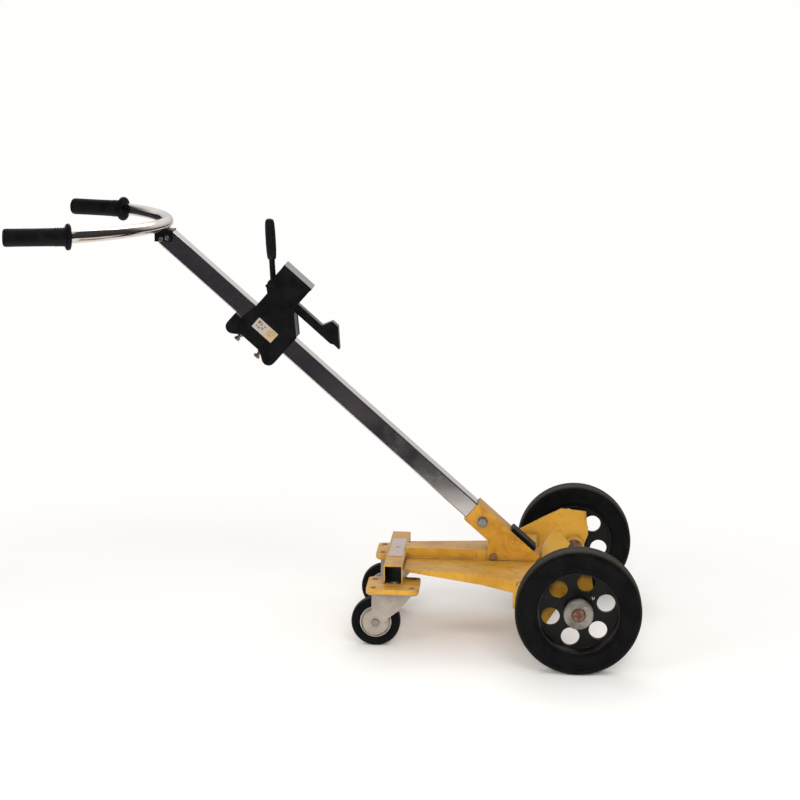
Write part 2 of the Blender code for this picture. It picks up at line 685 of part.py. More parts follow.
def build_caster(side):
    tag = side_name(side)
    y = side * CASTER_Y
    pivot = empty("swivel_axis_" + tag, (SWIVEL_X, y, 0.0))
    outline = rounded_rect((MOUNT_PLATE_X, side * MOUNT_PLATE_Y), *CASTER_PLATE_HALF, 10 * MM)
    plate = plate_z("caster_plate_" + tag, outline, CASTER_PLATE_Z[0], CASTER_PLATE_Z[1])
    race = rod("race_" + tag, 30 * MM, (SWIVEL_X, y, FORK_TOP + GAP),
               (SWIVEL_X, y, CASTER_PLATE_Z[0] + 1 * MM), 20, True)
    bore = rod("king_bore_" + tag, 6.4 * MM, (SWIVEL_X, y, 100 * MM), (SWIVEL_X, y, 130 * MM), 16, True)
    join(plate, race)
    cut(plate, bore, *screw_holes("caster_" + tag, side, CASTER_PLATE_Z))
    finish(plate, ZINC, 0.4, 0.8)
    build_screws(side)
    pin_profile = scaled([(0, 119.2), (6, 119.2), (6, 109.5), (10, 109.5), (10, 102.8), (0, 102.8)])
    pin = lathe("kingpin_" + tag, pin_profile, 16, False)
    pin.location = (SWIVEL_X, y, 0.0)
    finish(pin, STEEL, 0.4, 0.9)
    build_fork(tag, pivot)
    build_caster_wheel(side, tag, y)


def build_screws(side):
    tag = side_name(side)
    profile = scaled([(0, 131.4), (2.6, 131.3), (4.8, 130.5), (6.0, 129.7), (3.7, 129.7),
                      (3.7, 115.6), (0, 115.6)])
    for i, (x, y) in enumerate(screw_places(side)):
        screw = lathe(f"plate_screw_{tag}_{i + 1}", profile, 8, False)
        screw.location = (x, y, 0.0)
        finish(screw, STEEL, 0.5, 0.7)


def build_fork(tag, pivot):
    crown = box("caster_fork_" + tag, (-42 * MM, -FORK_INNER - 1 * MM, FORK_TOP - 3.0 * MM),
                (37 * MM, FORK_INNER + 1 * MM, FORK_TOP - 0.4 * MM))
    attach(pivot, crown)
    for s in (-1, 1):
        low, high = sorted((s * FORK_INNER, s * (FORK_INNER + FORK_THICK)))
        leg = plate_y(f"fork_leg_{tag}_{'a' if s < 0 else 'b'}", fork_outline(), low, high, True)
        attach(pivot, leg)
        join(crown, leg)
    trail = CASTER_X - SWIVEL_X
    axle = cross_hole("fork_axle_hole_" + tag, 5.4 * MM, trail, CASTER_RADIUS)
    king = rod("fork_king_hole_" + tag, 6.4 * MM, (0, 0, 100 * MM), (0, 0, 130 * MM), 16, True)
    attach(pivot, axle, king)
    cut(crown, axle, king)
    finish(crown, ZINC, 0.38, 0.8)


def build_caster_wheel(side, tag, y):
    core_profile = scaled([(32, 12), (32, -12), (29, -12), (28, -5), (13, -6), (12, -17),
                           (5.4, -17), (5.4, 17), (12, 17), (13, 6), (28, 5), (29, 12)])
    tyre_loop = scaled([(44, 14), (48.6, 11.5), (50, 7), (50, -7), (48.6, -11.5), (44, -14),
                        (34.5, -13.6), (32.6, -12), (32.6, 12), (34.5, 13.6)])
    core = lathe("caster_wheel_" + tag, core_profile, 20)
    tyre = lathe("caster_tyre_" + tag, tyre_loop, 24)
    for obj in (core, tyre):
        obj.location = (CASTER_X, y, CASTER_RADIUS)
        obj.rotation_euler = side_rotation(side)
    finish(core, ZINC, 0.45, 0.4)
    finish(tyre, RUBBER, 0.75, 0.0)
    reach = FORK_INNER + FORK_THICK + GAP
    bolt, _ = hex_bolt("caster_axle_" + tag, (CASTER_X, y - reach, CASTER_RADIUS), (0, 1, 0),
                       2 * reach, 5.0 * MM, 7.8 * MM, 4.5 * MM, 6 * MM)
    finish(bolt, STEEL, 0.35, 0.9)


# ---------------------------------------------------------------- clamp head

def head_outline():
    """Side outline of the clamp head in mast coordinates (s, n), from the rear top corner."""
    pivot = (LEVER_PIVOT[0] / MM, LEVER_PIVOT[1] / MM)
    top = [(223, 142.5)] + arc(pivot, 8.5, 130, 215, 5)
    top += [(225, 84), (235, 75), (235, 38), (228, -1), (213, -1)]
    rear_ear = arc((227.5, -24.5), 14.5, 180, 305, 6)
    front_ear = arc((326.5, -24.5), 14.5, 235, 360, 6)
    front = [(341, 46), (297, 87), (297, 142.5)]
    return scaled(top + rear_ear + [(252, -25), (302, -25)] + front_ear + front)


def build_head():
    outline = head_outline()
    head = plate_y("clamp_head", outline, -SIDE_OUT, -SIDE_IN)
    far = plate_y("head_far_side", outline, SIDE_IN, SIDE_OUT, True)
    attach(MAST, head, far)
    w = SIDE_IN + 1.0 * MM
    walls = [("head_top", (222.4, 297.6), (137, 143), 37.5 * MM),
             ("head_front", (290, 296.4), (98, 140), w),
             ("head_rear", (224.5, 229), (118, 140), w),
             ("head_guide", (276, 295.5), (70, 80.2), w),
             ("head_deck", (238, 336), (44, 50), w),
             ("head_floor", (240, 314), (-24.4, -18.5), w)]
    slope = scaled([(340, 45.5), (303.5, 79.5), (291, 79.5), (291, 75.5), (301.8, 75.5), (334, 45.3)])
    apron = plate_y("head_apron", slope, -w - 0.7 * MM, w + 0.7 * MM, True)
    attach(MAST, apron)
    join(head, far)
    for name, span, rise, half in walls:
        wall = box(name, (span[0] * MM, -half, rise[0] * MM), (span[1] * MM, half, rise[1] * MM), True)
        attach(MAST, wall)
        join(head, wall)
    join(head, apron)
    pin = cross_hole("head_pin_hole", 4.8 * MM, *LEVER_PIVOT, 16)
    attach(MAST, pin)
    cut(head, pin)
    for i, s in enumerate(GIB_S):
        hole = rod(f"gib_hole_{i + 1}", 4.4 * MM, (s, 0, -30 * MM), (s, 0, -12 * MM), 12, True)
        attach(MAST, hole)
        cut(head, hole)
    finish(head, BLACK_PAINT, 0.35, 0.1)
    build_head_slides()


def build_head_slides():
    upper = box("slide_pad_upper", (240 * MM, -24 * MM, 38.3 * MM), (332 * MM, 24 * MM, 43.7 * MM))
    lower = box("slide_pad_lower", (240 * MM, -24 * MM, -6 * MM), (316 * MM, 24 * MM, -0.3 * MM))
    attach(MAST, upper, lower)
    finish(upper, NYLON, 0.6, 0.0)
    finish(lower, NYLON, 0.6, 0.0)
    for i, s in enumerate(GIB_S):
        screw, extra = hex_bolt(f"gib_screw_{i + 1}", (s, 0, -41 * MM), (0, 0, 1), 34.6 * MM,
                                4.0 * MM, 7.0 * MM, 5.0 * MM)
        nut = rod(f"gib_nut_{i + 1}", 7.4 * MM, (s, 0, -33.5 * MM), (s, 0, -25.4 * MM), 6)
        bore = rod(f"gib_nut_bore_{i + 1}", 4.3 * MM, (s, 0, -40 * MM), (s, 0, -20 * MM), 12, True)
        attach(MAST, screw, nut, bore, *extra)
        cut(nut, bore)
        finish(screw, BRASS, 0.4, 0.8)
        finish(nut, BRASS, 0.4, 0.8)
    label = box("head_label", (256 * MM, -37.9 * MM, 3 * MM), (308 * MM, -37.3 * MM, 27 * MM))
    attach(MAST, label)
    finish(label, LABEL, 0.5, 0.0)


def build_jaw():
    foot = [(240.5, 97.5), (240.5, 84.5), (229.2, 84.5), (229.2, 76), (256, 76), (256, 80.5)]
    blade = [(400, 80.5), (408, 84), (422, 83.5), (422.5, 85), (389, 118), (373, 118), (363, 97.5)]
    jaw = plate_y("clamp_jaw", scaled(foot + blade), -JAW_HALF_Y, JAW_HALF_Y)
    lug = box("jaw_lug", (247 * MM, -10 * MM, 95 * MM), (252 * MM, 10 * MM, 127 * MM), True)
    attach(MAST, jaw, lug)
    join(jaw, lug)
    finish(jaw, BLACK_PAINT, 0.4, 0.2)
    points = []
    turns = 5
    per_turn = 8
    for i in range(turns * per_turn + 1):
        a = 2 * math.pi * i / per_turn
        s = 254 + 33.5 * i / (turns * per_turn)
        points.append((s * MM, 8 * MM * math.cos(a), (116 + 8 * math.sin(a)) * MM))
    spring = pipe("jaw_spring", 1.2 * MM, points, 1)
    attach(MAST, spring)
    finish(spring, STEEL, 0.3, 0.9)


def build_lever():
    pivot = empty("lever_axis", (LEVER_PIVOT[0], 0.0, LEVER_PIVOT[1]))
    attach(MAST, pivot)
    aim = Vector((LEVER_DIR[0], 0.0, LEVER_DIR[1])).normalized()
    end = LEVER_LENGTH
    arm = rod("lever_arm", LEVER_RADIUS, aim * 4 * MM, aim * (end - 9 * MM), 16)
    hub = rod("lever_hub", 8.5 * MM, (0, -5.8 * MM, 0), (0, 5.8 * MM, 0), 20, True)
    crank = box("lever_crank", (-3.0 * MM, -4.6 * MM, 0), (3.0 * MM, 4.6 * MM, CRANK_LENGTH), True)
    tip = rod("lever_tip", 3.5 * MM, (0, -5 * MM, CRANK_LENGTH), (0, 5 * MM, CRANK_LENGTH), 12, True)
    bore = cross_hole("lever_bore", 4.8 * MM, 0, 0, 16)
    attach(pivot, arm, hub, crank, tip, bore)
    turn = Matrix.Rotation(math.radians(CRANK_TURN_DEG), 4, "Y")
    for obj in (crank, tip):
        obj.data.transform(turn)
    join(arm, hub, crank, tip)
    cut(arm, bore)
    finish(arm, BLACK_PAINT, 0.35, 0.4)
    inside = LEVER_RADIUS + GAP
    profile = [(0.0, end), (5.4 * MM, end - 0.8 * MM), (8.4 * MM, end - 3.5 * MM),
               (9.6 * MM, end - 9 * MM), (10.4 * MM, end - 26 * MM), (10.6 * MM, end - 50 * MM),
               (10.4 * MM, end - 66 * MM), (9.3 * MM, GRIP_START + 5.3 * MM),
               (8.2 * MM, GRIP_START), (inside, GRIP_START), (inside, end - 8.6 * MM),
               (0.0, end - 8.6 * MM)]
    grip = lathe("lever_grip", profile, 16, False)
    attach(pivot, grip)
    grip.rotation_euler = aim.to_track_quat("Z", "Y").to_euler()
    finish(grip, RUBBER, 0.45, 0.0)
    pin_profile = scaled([(0, 40.4), (6, 40.4), (7, 39.6), (7, 37.4), (4.4, 37.4), (4.4, -37.4),
                          (7, -37.4), (7, -39.6), (6, -40.4), (0, -40.4)])
    pin = lathe("lever_pin", pin_profile, 16, False)
    attach(MAST, pin)
    pin.location = (LEVER_PIVOT[0], 0.0, LEVER_PIVOT[1])
    pin.rotation_euler = side_rotation(-1)
    finish(pin, STEEL, 0.35, 0.9)


def build_frame_label():
    top = CROSS_TUBE_Z + CROSS_TUBE / 2
    label = box("frame_label", (SWIVEL_X - 15 * MM, -75 * MM, top + GAP),
                (SWIVEL_X + 15 * MM, 90 * MM, top + 0.9 * MM))
    finish(label, LABEL, 0.55, 0.0)


def center_origin():
    for obj in list(bpy.data.objects):
        if obj.parent is None:
            obj.location.x += ORIGIN_X


build_base_frame()
build_axle_carrier()
build_socket()
build_frame_fasteners()
build_rest_pad()
build_mast()
build_handle_clamp()
build_handlebar()
for wheel_side in (-1, 1):
    build_main_wheel(wheel_side)
    build_axle(wheel_side)
    build_caster(wheel_side)
build_head()
build_jaw()
build_lever()
build_frame_label()
center_origin()
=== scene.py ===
"""Looks of the drum dolly: finer round pieces, worn procedural materials, pale floor, soft light, camera.

Row frame, metres: +X towards the foot of the mast, +Y to the left, +Z up.
Along the mast, s runs down it and n points to the load side.
"""
import json
import math
import random

import bmesh
import bpy
from mathutils import Matrix, Vector


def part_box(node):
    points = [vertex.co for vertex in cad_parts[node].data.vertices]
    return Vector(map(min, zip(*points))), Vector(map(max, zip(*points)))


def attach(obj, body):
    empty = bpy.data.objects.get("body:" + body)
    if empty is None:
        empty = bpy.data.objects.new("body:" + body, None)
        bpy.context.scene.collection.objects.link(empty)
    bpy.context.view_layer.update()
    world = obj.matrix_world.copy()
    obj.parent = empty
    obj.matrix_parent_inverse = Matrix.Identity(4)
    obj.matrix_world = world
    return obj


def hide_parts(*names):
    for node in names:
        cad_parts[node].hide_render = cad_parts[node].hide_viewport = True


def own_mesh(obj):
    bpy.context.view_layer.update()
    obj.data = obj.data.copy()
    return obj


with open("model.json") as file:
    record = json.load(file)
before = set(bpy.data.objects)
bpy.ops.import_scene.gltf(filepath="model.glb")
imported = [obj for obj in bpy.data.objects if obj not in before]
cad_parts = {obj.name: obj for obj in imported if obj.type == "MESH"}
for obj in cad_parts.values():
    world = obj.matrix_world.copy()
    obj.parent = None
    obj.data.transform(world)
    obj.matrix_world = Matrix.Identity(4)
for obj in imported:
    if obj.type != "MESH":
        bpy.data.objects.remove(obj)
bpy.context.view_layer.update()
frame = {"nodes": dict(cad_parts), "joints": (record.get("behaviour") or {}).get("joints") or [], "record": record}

MM = 0.001
RANDOM = random.Random(7)
JOINTS = {j["name"]: j for j in frame["joints"]}
MOUNTS = {m["name"]: m for m in frame["record"]["mounts"]}
NODES = frame["nodes"]
Y_AXIS = Vector((0.0, 1.0, 0.0))

# Mast frame, from the head's slide axis and the lid stop mount
MAST_S = Vector(JOINTS["head_slide"]["axis"]).normalized()
MAST_N = Vector((-MAST_S.z, 0.0, MAST_S.x))
STOP_S = 296.4 * MM
STOP_N = 120.0 * MM
MAST_TOP = Vector(MOUNTS["drum_lid_stop"]["pos_m"]) - MAST_S * STOP_S - MAST_N * STOP_N


def on_mast(s, n, y=0.0):
    """Point at (s, n) millimetres in the mast frame, y millimetres to the left."""
    point = MAST_TOP + MAST_S * (s * MM) + MAST_N * (n * MM)
    point.y = y * MM
    return point


def box_middle(node):
    lo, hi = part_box(node)
    return (Vector(lo) + Vector(hi)) / 2


def side_of(tag):
    return 1.0 if tag == "left" else -1.0


# ---------------------------------------------------------------- node helper

class Look:
    """A Principled material under construction. Coordinates are the row frame's, in metres."""

    def __init__(self, name):
        self.mat = bpy.data.materials.new(name)
        self.mat.use_nodes = True
        self.tree = self.mat.node_tree
        self.tree.nodes.clear()
        out = self.node("ShaderNodeOutputMaterial")
        self.shader = self.node("ShaderNodeBsdfPrincipled")
        self.link(self.shader.outputs[0], out.inputs["Surface"])
        self.place = self.node("ShaderNodeTexCoord").outputs["Object"]
        self.geometry = self.node("ShaderNodeNewGeometry")

    def node(self, kind, **settings):
        made = self.tree.nodes.new(kind)
        for key, value in settings.items():
            setattr(made, key, value)
        return made

    def link(self, source, target):
        self.tree.links.new(source, target)

    def put(self, target, value):
        if isinstance(value, bpy.types.NodeSocket):
            self.link(value, target)
        else:
            target.default_value = value

    def set(self, name, value):
        if isinstance(value, tuple) and len(value) == 3:
            value = (*value, 1.0)
        self.put(self.shader.inputs[name], value)

    def math(self, operation, a, b=0.0, c=0.0, clamp=False):
        made = self.node("ShaderNodeMath", operation=operation, use_clamp=clamp)
        for socket, value in zip(made.inputs, (a, b, c)):
            self.put(socket, value)
        return made.outputs[0]

    def ramp(self, value, low, high, out_low=0.0, out_high=1.0):
        made = self.node("ShaderNodeMapRange", interpolation_type="SMOOTHSTEP")
        for name, v in (("Value", value), ("From Min", low), ("From Max", high),
                        ("To Min", out_low), ("To Max", out_high)):
            self.put(made.inputs[name], v)
        return made.outputs[0]

    def mix(self, factor, a, b, mode="MIX"):
        made = self.node("ShaderNodeMix", data_type="RGBA", blend_type=mode)
        self.put(made.inputs[0], factor)
        for socket, value in ((made.inputs[6], a), (made.inputs[7], b)):
            self.put(socket, (*value, 1.0) if isinstance(value, tuple) else value)
        return made.outputs[2]

    def stretched(self, scale, rotation=(0.0, 0.0, 0.0)):
        made = self.node("ShaderNodeMapping")
        made.inputs["Scale"].default_value = scale
        made.inputs["Rotation"].default_value = rotation
        self.link(self.place, made.inputs["Vector"])
        return made.outputs[0]

    def noise(self, scale, detail=4.0, rough=0.55, place=None, twist=0.0):
        made = self.node("ShaderNodeTexNoise")
        self.link(place or self.place, made.inputs["Vector"])
        made.inputs["Scale"].default_value = scale
        made.inputs["Detail"].default_value = detail
        made.inputs["Roughness"].default_value = rough
        made.inputs["Distortion"].default_value = twist
        return made.outputs["Fac"]

    def cells(self, scale, feature="F1", place=None):
        made = self.node("ShaderNodeTexVoronoi", feature=feature)
        self.link(place or self.place, made.inputs["Vector"])
        made.inputs["Scale"].default_value = scale
        return made.outputs["Distance"]

    def dot(self, vector, direction):
        made = self.node("ShaderNodeVectorMath", operation="DOT_PRODUCT")
        self.put(made.inputs[0], vector)
        self.put(made.inputs[1], direction)
        return made.outputs["Value"]

    def facing(self, direction):
        return self.dot(self.geometry.outputs["Normal"], tuple(direction))

    def edges(self, radius, strength=0.06):
        """1 on convex and concave edges, 0 on flats."""
        bevel = self.node("ShaderNodeBevel", samples=4)
        bevel.inputs["Radius"].default_value = radius
        same = self.dot(bevel.outputs[0], self.geometry.outputs["Normal"])
        return self.ramp(self.math("SUBTRACT", 1.0, same), 0.004, strength)

    def hollows(self, distance):
        """1 in corners and crevices, 0 in the open."""
        made = self.node("ShaderNodeAmbientOcclusion", samples=4)
        made.inputs["Distance"].default_value = distance
        return self.ramp(made.outputs["AO"], 0.35, 0.9, 1.0, 0.0)

    def bump(self, height, distance, strength=1.0, soften=0.0):
        made = self.node("ShaderNodeBump")
        self.put(made.inputs["Height"], height)
        made.inputs["Distance"].default_value = distance
        made.inputs["Strength"].default_value = strength
        if soften > 0.0:
            bevel = self.node("ShaderNodeBevel", samples=4)
            bevel.inputs["Radius"].default_value = soften
            self.link(bevel.outputs[0], made.inputs["Normal"])
        self.link(made.outputs[0], self.shader.inputs["Normal"])


def times(look, a, b):
    return look.math("MULTIPLY", a, b)


# ---------------------------------------------------------------- materials

CROSS_TUBE = Vector((JOINTS["caster_turn_left"]["pos_m"][0], 0.0, 148.0 * MM))
CROSS_BORE = 16.6 * MM


def inside(look, direction, middle, half):
    """1 where the place lies within half of middle along direction."""
    away = look.math("ABSOLUTE", look.math("SUBTRACT", look.dot(look.place, direction), middle))
    return look.ramp(away, half, half + 0.6 * MM, 1.0, 0.0)


def yellow_paint():
    look = Look("yellow_paint")
    broad = look.noise(7.0, 3.0)
    mottle = look.noise(55.0, 5.0, 0.6)
    fine = look.noise(420.0, 3.0)
    base = look.mix(look.ramp(broad, 0.35, 0.65), (0.42, 0.200, 0.018), (0.53, 0.285, 0.036))
    base = look.mix(look.ramp(mottle, 0.45, 0.75, 0.0, 0.45), base, (0.55, 0.315, 0.062))
    up = look.ramp(look.facing((0, 0, 1)), 0.75, 0.98)
    dust = times(look, up, look.ramp(mottle, 0.30, 0.62, 0.04, 0.24))
    base = look.mix(dust, base, (0.55, 0.335, 0.085))
    streak = look.noise(90.0, 3.0, 0.6, look.stretched((0.25, 1.0, 2.6)))
    rubbed = look.ramp(streak, 0.63, 0.70, 0.0, 0.5)
    base = look.mix(rubbed, base, (0.40, 0.185, 0.030))
    blotch = look.ramp(look.noise(17.0, 6.0, 0.75, twist=0.7), 0.50, 0.64, 0.0, 0.62)
    base = look.mix(blotch, base, (0.30, 0.125, 0.020))
    smudge = look.ramp(look.noise(46.0, 6.0, 0.8), 0.60, 0.70, 0.0, 0.55)
    base = look.mix(smudge, base, (0.17, 0.080, 0.022))
    # Rust-brown grime in corners and crevices, spotted by the mottle. It follows ambient occlusion, so it is also
    # painted shade there.
    crevice_tone = times(look, look.hollows(0.018), look.ramp(mottle, 0.3, 0.65, 0.35, 0.9))
    base = look.mix(crevice_tone, base, (0.150, 0.075, 0.020))
    # Painted shade: deep recesses, found by ambient occlusion over 60 mm, are painted near black.
    deep_shade = look.node("ShaderNodeAmbientOcclusion", samples=4)
    deep_shade.inputs["Distance"].default_value = 60.0 * MM
    base = look.mix(look.ramp(deep_shade.outputs["AO"], 0.06, 0.26, 0.95, 0.0), base, (0.012, 0.009, 0.007))
    # Painted shade: a near-black square on the cross tube's closed ends stands for the dark inside of the open
    # tube.
    bore_shade = times(look, inside(look, (1, 0, 0), CROSS_TUBE.x, CROSS_BORE),
                 inside(look, (0, 0, 1), CROSS_TUBE.z, CROSS_BORE))
    base = look.mix(bore_shade, base, (0.006, 0.005, 0.005))
    worn = times(look, look.edges(1.3 * MM), look.ramp(look.noise(130.0, 5.0, 0.7), 0.47, 0.60))
    speck = look.ramp(look.cells(85.0), 0.055, 0.095, 1.0, 0.0)
    speck = times(look, speck, look.ramp(look.noise(11.0, 2.0), 0.52, 0.60))
    chip = look.math("MAXIMUM", times(look, worn, 0.75), speck)
    base = look.mix(chip, base, (0.60, 0.52, 0.42))
    rust = times(look, chip, look.ramp(fine, 0.52, 0.62, 0.0, 0.8))
    base = look.mix(rust, base, (0.16, 0.070, 0.030))
    look.set("Base Color", base)
    gloss = look.ramp(mottle, 0.3, 0.7, 0.34, 0.50)
    look.set("Roughness", look.math("ADD", gloss, look.math("MULTIPLY", chip, 0.25), clamp=True))
    look.set("Specular IOR Level", 0.20)
    peel = look.math("ADD", look.noise(650.0, 2.0), times(look, fine, 0.6))
    height = look.math("SUBTRACT", times(look, peel, 0.12), times(look, chip, 0.8))
    look.bump(height, 0.16 * MM, 0.8, 0.9 * MM)
    return look.mat


def chrome(name, tint, along, waves, soften=0.0):
    """Bright plate with handling smears, hairlines along one direction and a few pits."""
    look = Look(name)
    smear = look.noise(16.0, 5.0, 0.6, twist=0.6)
    hair = look.noise(340.0, 2.0, 0.5, look.stretched(along))
    pit = look.ramp(look.cells(110.0), 0.03, 0.05, 1.0, 0.0)
    pit = times(look, pit, look.ramp(look.noise(9.0, 2.0), 0.60, 0.68, 0.0, 0.55))
    base = look.mix(look.ramp(smear, 0.4, 0.75, 0.0, 0.55), tint, (0.50, 0.46, 0.43))
    base = look.mix(times(look, pit, 0.8), base, (0.12, 0.075, 0.045))
    look.set("Base Color", base)
    look.set("Metallic", 1.0)
    rough = look.math("ADD", look.ramp(smear, 0.3, 0.75, 0.045, 0.16), times(look, hair, 0.05))
    look.set("Roughness", look.math("ADD", rough, times(look, pit, 0.4), clamp=True))
    wave = look.math("ADD", look.noise(9.0, 1.5), times(look, hair, 0.0015))
    look.bump(wave, 2.4 * MM, waves, soften)
    return look.mat


def black_paint():
    look = Look("black_paint")
    mottle = look.noise(40.0, 5.0, 0.6)
    base = look.mix(look.ramp(mottle, 0.3, 0.7), (0.0028, 0.0030, 0.0036), (0.0055, 0.0054, 0.0057))
    up = look.ramp(look.facing((0.5, 0.0, 0.8)), 0.6, 0.95)
    dust = times(look, up, look.ramp(look.noise(25.0, 4.0), 0.35, 0.7, 0.05, 0.35))
    base = look.mix(dust, base, (0.045, 0.040, 0.034))
    # Top face of the head, where drum lids rest: rubbed paler and glossier. The paler colour is also a painted
    # highlight.
    height = look.math("SUBTRACT", look.dot(look.place, tuple(MAST_N)), MAST_TOP.dot(MAST_N))
    lid_wear_and_sheen = times(look, look.ramp(look.facing(MAST_N), 0.90, 0.97), look.ramp(height, 0.135, 0.138))
    base = look.mix(times(look, lid_wear_and_sheen, look.ramp(mottle, 0.35, 0.70, 0.2, 0.9)), base, (0.070, 0.060, 0.050))
    worn = times(look, look.edges(0.9 * MM), look.ramp(look.noise(160.0, 5.0, 0.7), 0.50, 0.62))
    base = look.mix(times(look, worn, 0.45), base, (0.12, 0.11, 0.10))
    look.set("Base Color", base)
    look.set("Metallic", times(look, worn, 0.5))
    gloss = look.math("SUBTRACT", look.ramp(mottle, 0.3, 0.7, 0.26, 0.40), times(look, lid_wear_and_sheen, 0.18))
    look.set("Roughness", gloss)
    look.set("Specular IOR Level", look.math("ADD", 0.28, times(look, lid_wear_and_sheen, 0.62)))
    look.bump(look.noise(520.0, 3.0), 0.10 * MM, 0.6, 0.8 * MM)
    return look.mat


def hand_rubber():
    look = Look("black_rubber")
    mottle = look.noise(45.0, 5.0)
    base = look.mix(look.ramp(mottle, 0.35, 0.7), (0.0030, 0.0031, 0.0039), (0.0062, 0.0060, 0.0062))
    scuff = look.ramp(look.noise(120.0, 4.0, 0.7), 0.62, 0.72, 0.0, 0.30)
    base = look.mix(scuff, base, (0.020, 0.018, 0.017))
    look.set("Base Color", base)
    look.set("Specular IOR Level", 0.12)
    look.set("Roughness", look.ramp(mottle, 0.3, 0.7, 0.42, 0.60))
    grain = look.math("ADD", look.cells(900.0), look.noise(300.0, 3.0))
    look.bump(grain, 0.12 * MM, 0.55)
    return look.mat


def knob_plastic():
    look = Look("gloss_grip")
    mottle = look.noise(60.0, 4.0)
    look.set("Base Color", look.mix(mottle, (0.0040, 0.0042, 0.0050), (0.0085, 0.0080, 0.0078)))
    look.set("Specular IOR Level", 0.38)
    look.set("Roughness", look.ramp(mottle, 0.3, 0.7, 0.22, 0.40))
    look.bump(look.noise(260.0, 4.0), 0.10 * MM, 0.5)
    return look.mat


def tread_rubber():
    look = Look("tread_rubber")
    mottle = look.noise(38.0, 5.0, 0.6)
    fine = look.noise(260.0, 4.0, 0.65)
    base = look.mix(look.ramp(mottle, 0.3, 0.7), (0.0022, 0.0024, 0.0030), (0.0050, 0.0049, 0.0050))
    sideways = look.math("ABSOLUTE", look.facing((0, 1, 0)))
    tread = look.ramp(sideways, 0.35, 0.80, 1.0, 0.0)
    dirt = times(look, tread, look.ramp(fine, 0.35, 0.65, 0.25, 0.70))
    base = look.mix(dirt, base, (0.060, 0.048, 0.034))
    scuff = look.ramp(look.noise(75.0, 4.0, 0.7, twist=1.5), 0.60, 0.72, 0.0, 0.25)
    base = look.mix(scuff, base, (0.014, 0.013, 0.012))
    look.set("Base Color", base)
    look.set("Roughness", look.ramp(fine, 0.3, 0.7, 0.55, 0.80))
    look.set("Specular IOR Level", 0.10)
    look.bump(look.math("ADD", fine, times(look, look.cells(420.0), 0.5)), 0.25 * MM, 0.5)
    return look.mat


def dark_rim():
    look = Look("dark_rim")
    mottle = look.noise(48.0, 5.0, 0.6)
    base = look.mix(look.ramp(mottle, 0.3, 0.7), (0.0036, 0.0038, 0.0044), (0.0075, 0.0072, 0.0070))
    crevice_tone = times(look, look.hollows(0.012), 0.45)
    base = look.mix(crevice_tone, base, (0.024, 0.018, 0.012))
    worn = times(look, look.edges(1.1 * MM), look.ramp(look.noise(150.0, 5.0, 0.7), 0.48, 0.60))
    base = look.mix(times(look, worn, 0.35), base, (0.12, 0.10, 0.085))
    look.set("Base Color", base)
    look.set("Specular IOR Level", 0.25)
    look.set("Roughness", look.ramp(mottle, 0.3, 0.7, 0.38, 0.60))
    look.bump(look.noise(380.0, 4.0), 0.14 * MM, 0.6, 0.7 * MM)
    return look.mat


def plated(name, light, dark, metal, rough, stain=0.5, grain=230.0, lump=0.10):
    """Plated or cast metal with cloudy tone, brown stains in corners and dulled patches."""
    look = Look(name)
    cloud = look.noise(26.0, 5.0, 0.6)
    spangle = look.cells(grain)
    fine = look.noise(310.0, 4.0, 0.6)
    base = look.mix(look.ramp(cloud, 0.3, 0.7), dark, light)
    base = look.mix(look.ramp(spangle, 0.1, 0.7, 0.0, 0.22), base, dark)
    spot = look.ramp(look.noise(95.0, 4.0, 0.7, twist=0.8), 0.60, 0.72, 0.0, stain)
    corner = times(look, look.hollows(0.008), stain)
    base = look.mix(look.math("MAXIMUM", spot, corner), base, (0.15, 0.085, 0.045))
    look.set("Base Color", base)
    look.set("Metallic", metal)
    look.set("Roughness", look.ramp(cloud, 0.3, 0.7, rough - 0.07, rough + 0.10))
    look.bump(look.math("ADD", fine, times(look, spangle, 0.4)), lump * MM, 0.6, 0.5 * MM)
    return look.mat


def turned_steel():
    """Sawn and browned bar end: fine turning rings round the wheel axis."""
    look = Look("brown_steel")
    centre = Vector(JOINTS["main_wheel_spin_left"]["pos_m"])
    flat = look.stretched((1.0, 0.0, 1.0))
    shift = look.node("ShaderNodeVectorMath", operation="DISTANCE")
    look.link(flat, shift.inputs[0])
    shift.inputs[1].default_value = (centre.x, 0.0, centre.z)
    rings = look.math("SINE", look.math("MULTIPLY", shift.outputs["Value"], 9000.0))
    cloud = look.noise(120.0, 4.0, 0.6)
    base = look.mix(look.ramp(cloud, 0.35, 0.65), (0.115, 0.055, 0.040), (0.30, 0.165, 0.115))
    look.set("Base Color", base)
    look.set("Metallic", 0.65)
    look.set("Roughness", look.ramp(cloud, 0.3, 0.7, 0.38, 0.60))
    look.bump(look.math("ADD", times(look, rings, 0.25), cloud), 0.12 * MM, 0.6)
    return look.mat


def nylon():
    look = Look("white_nylon")
    mottle = look.noise(70.0, 4.0)
    look.set("Base Color", look.mix(mottle, (0.62, 0.59, 0.50), (0.76, 0.74, 0.66)))
    look.set("Roughness", look.ramp(mottle, 0.3, 0.7, 0.45, 0.62))
    look.bump(look.noise(240.0, 3.0), 0.1 * MM, 0.5)
    return look.mat


def band(look, value, low, high, soft=0.0003):
    """1 where value lies between low and high."""
    rise = look.ramp(value, low - soft, low + soft)
    fall = look.ramp(value, high - soft, high + soft, 1.0, 0.0)
    return times(look, rise, fall)


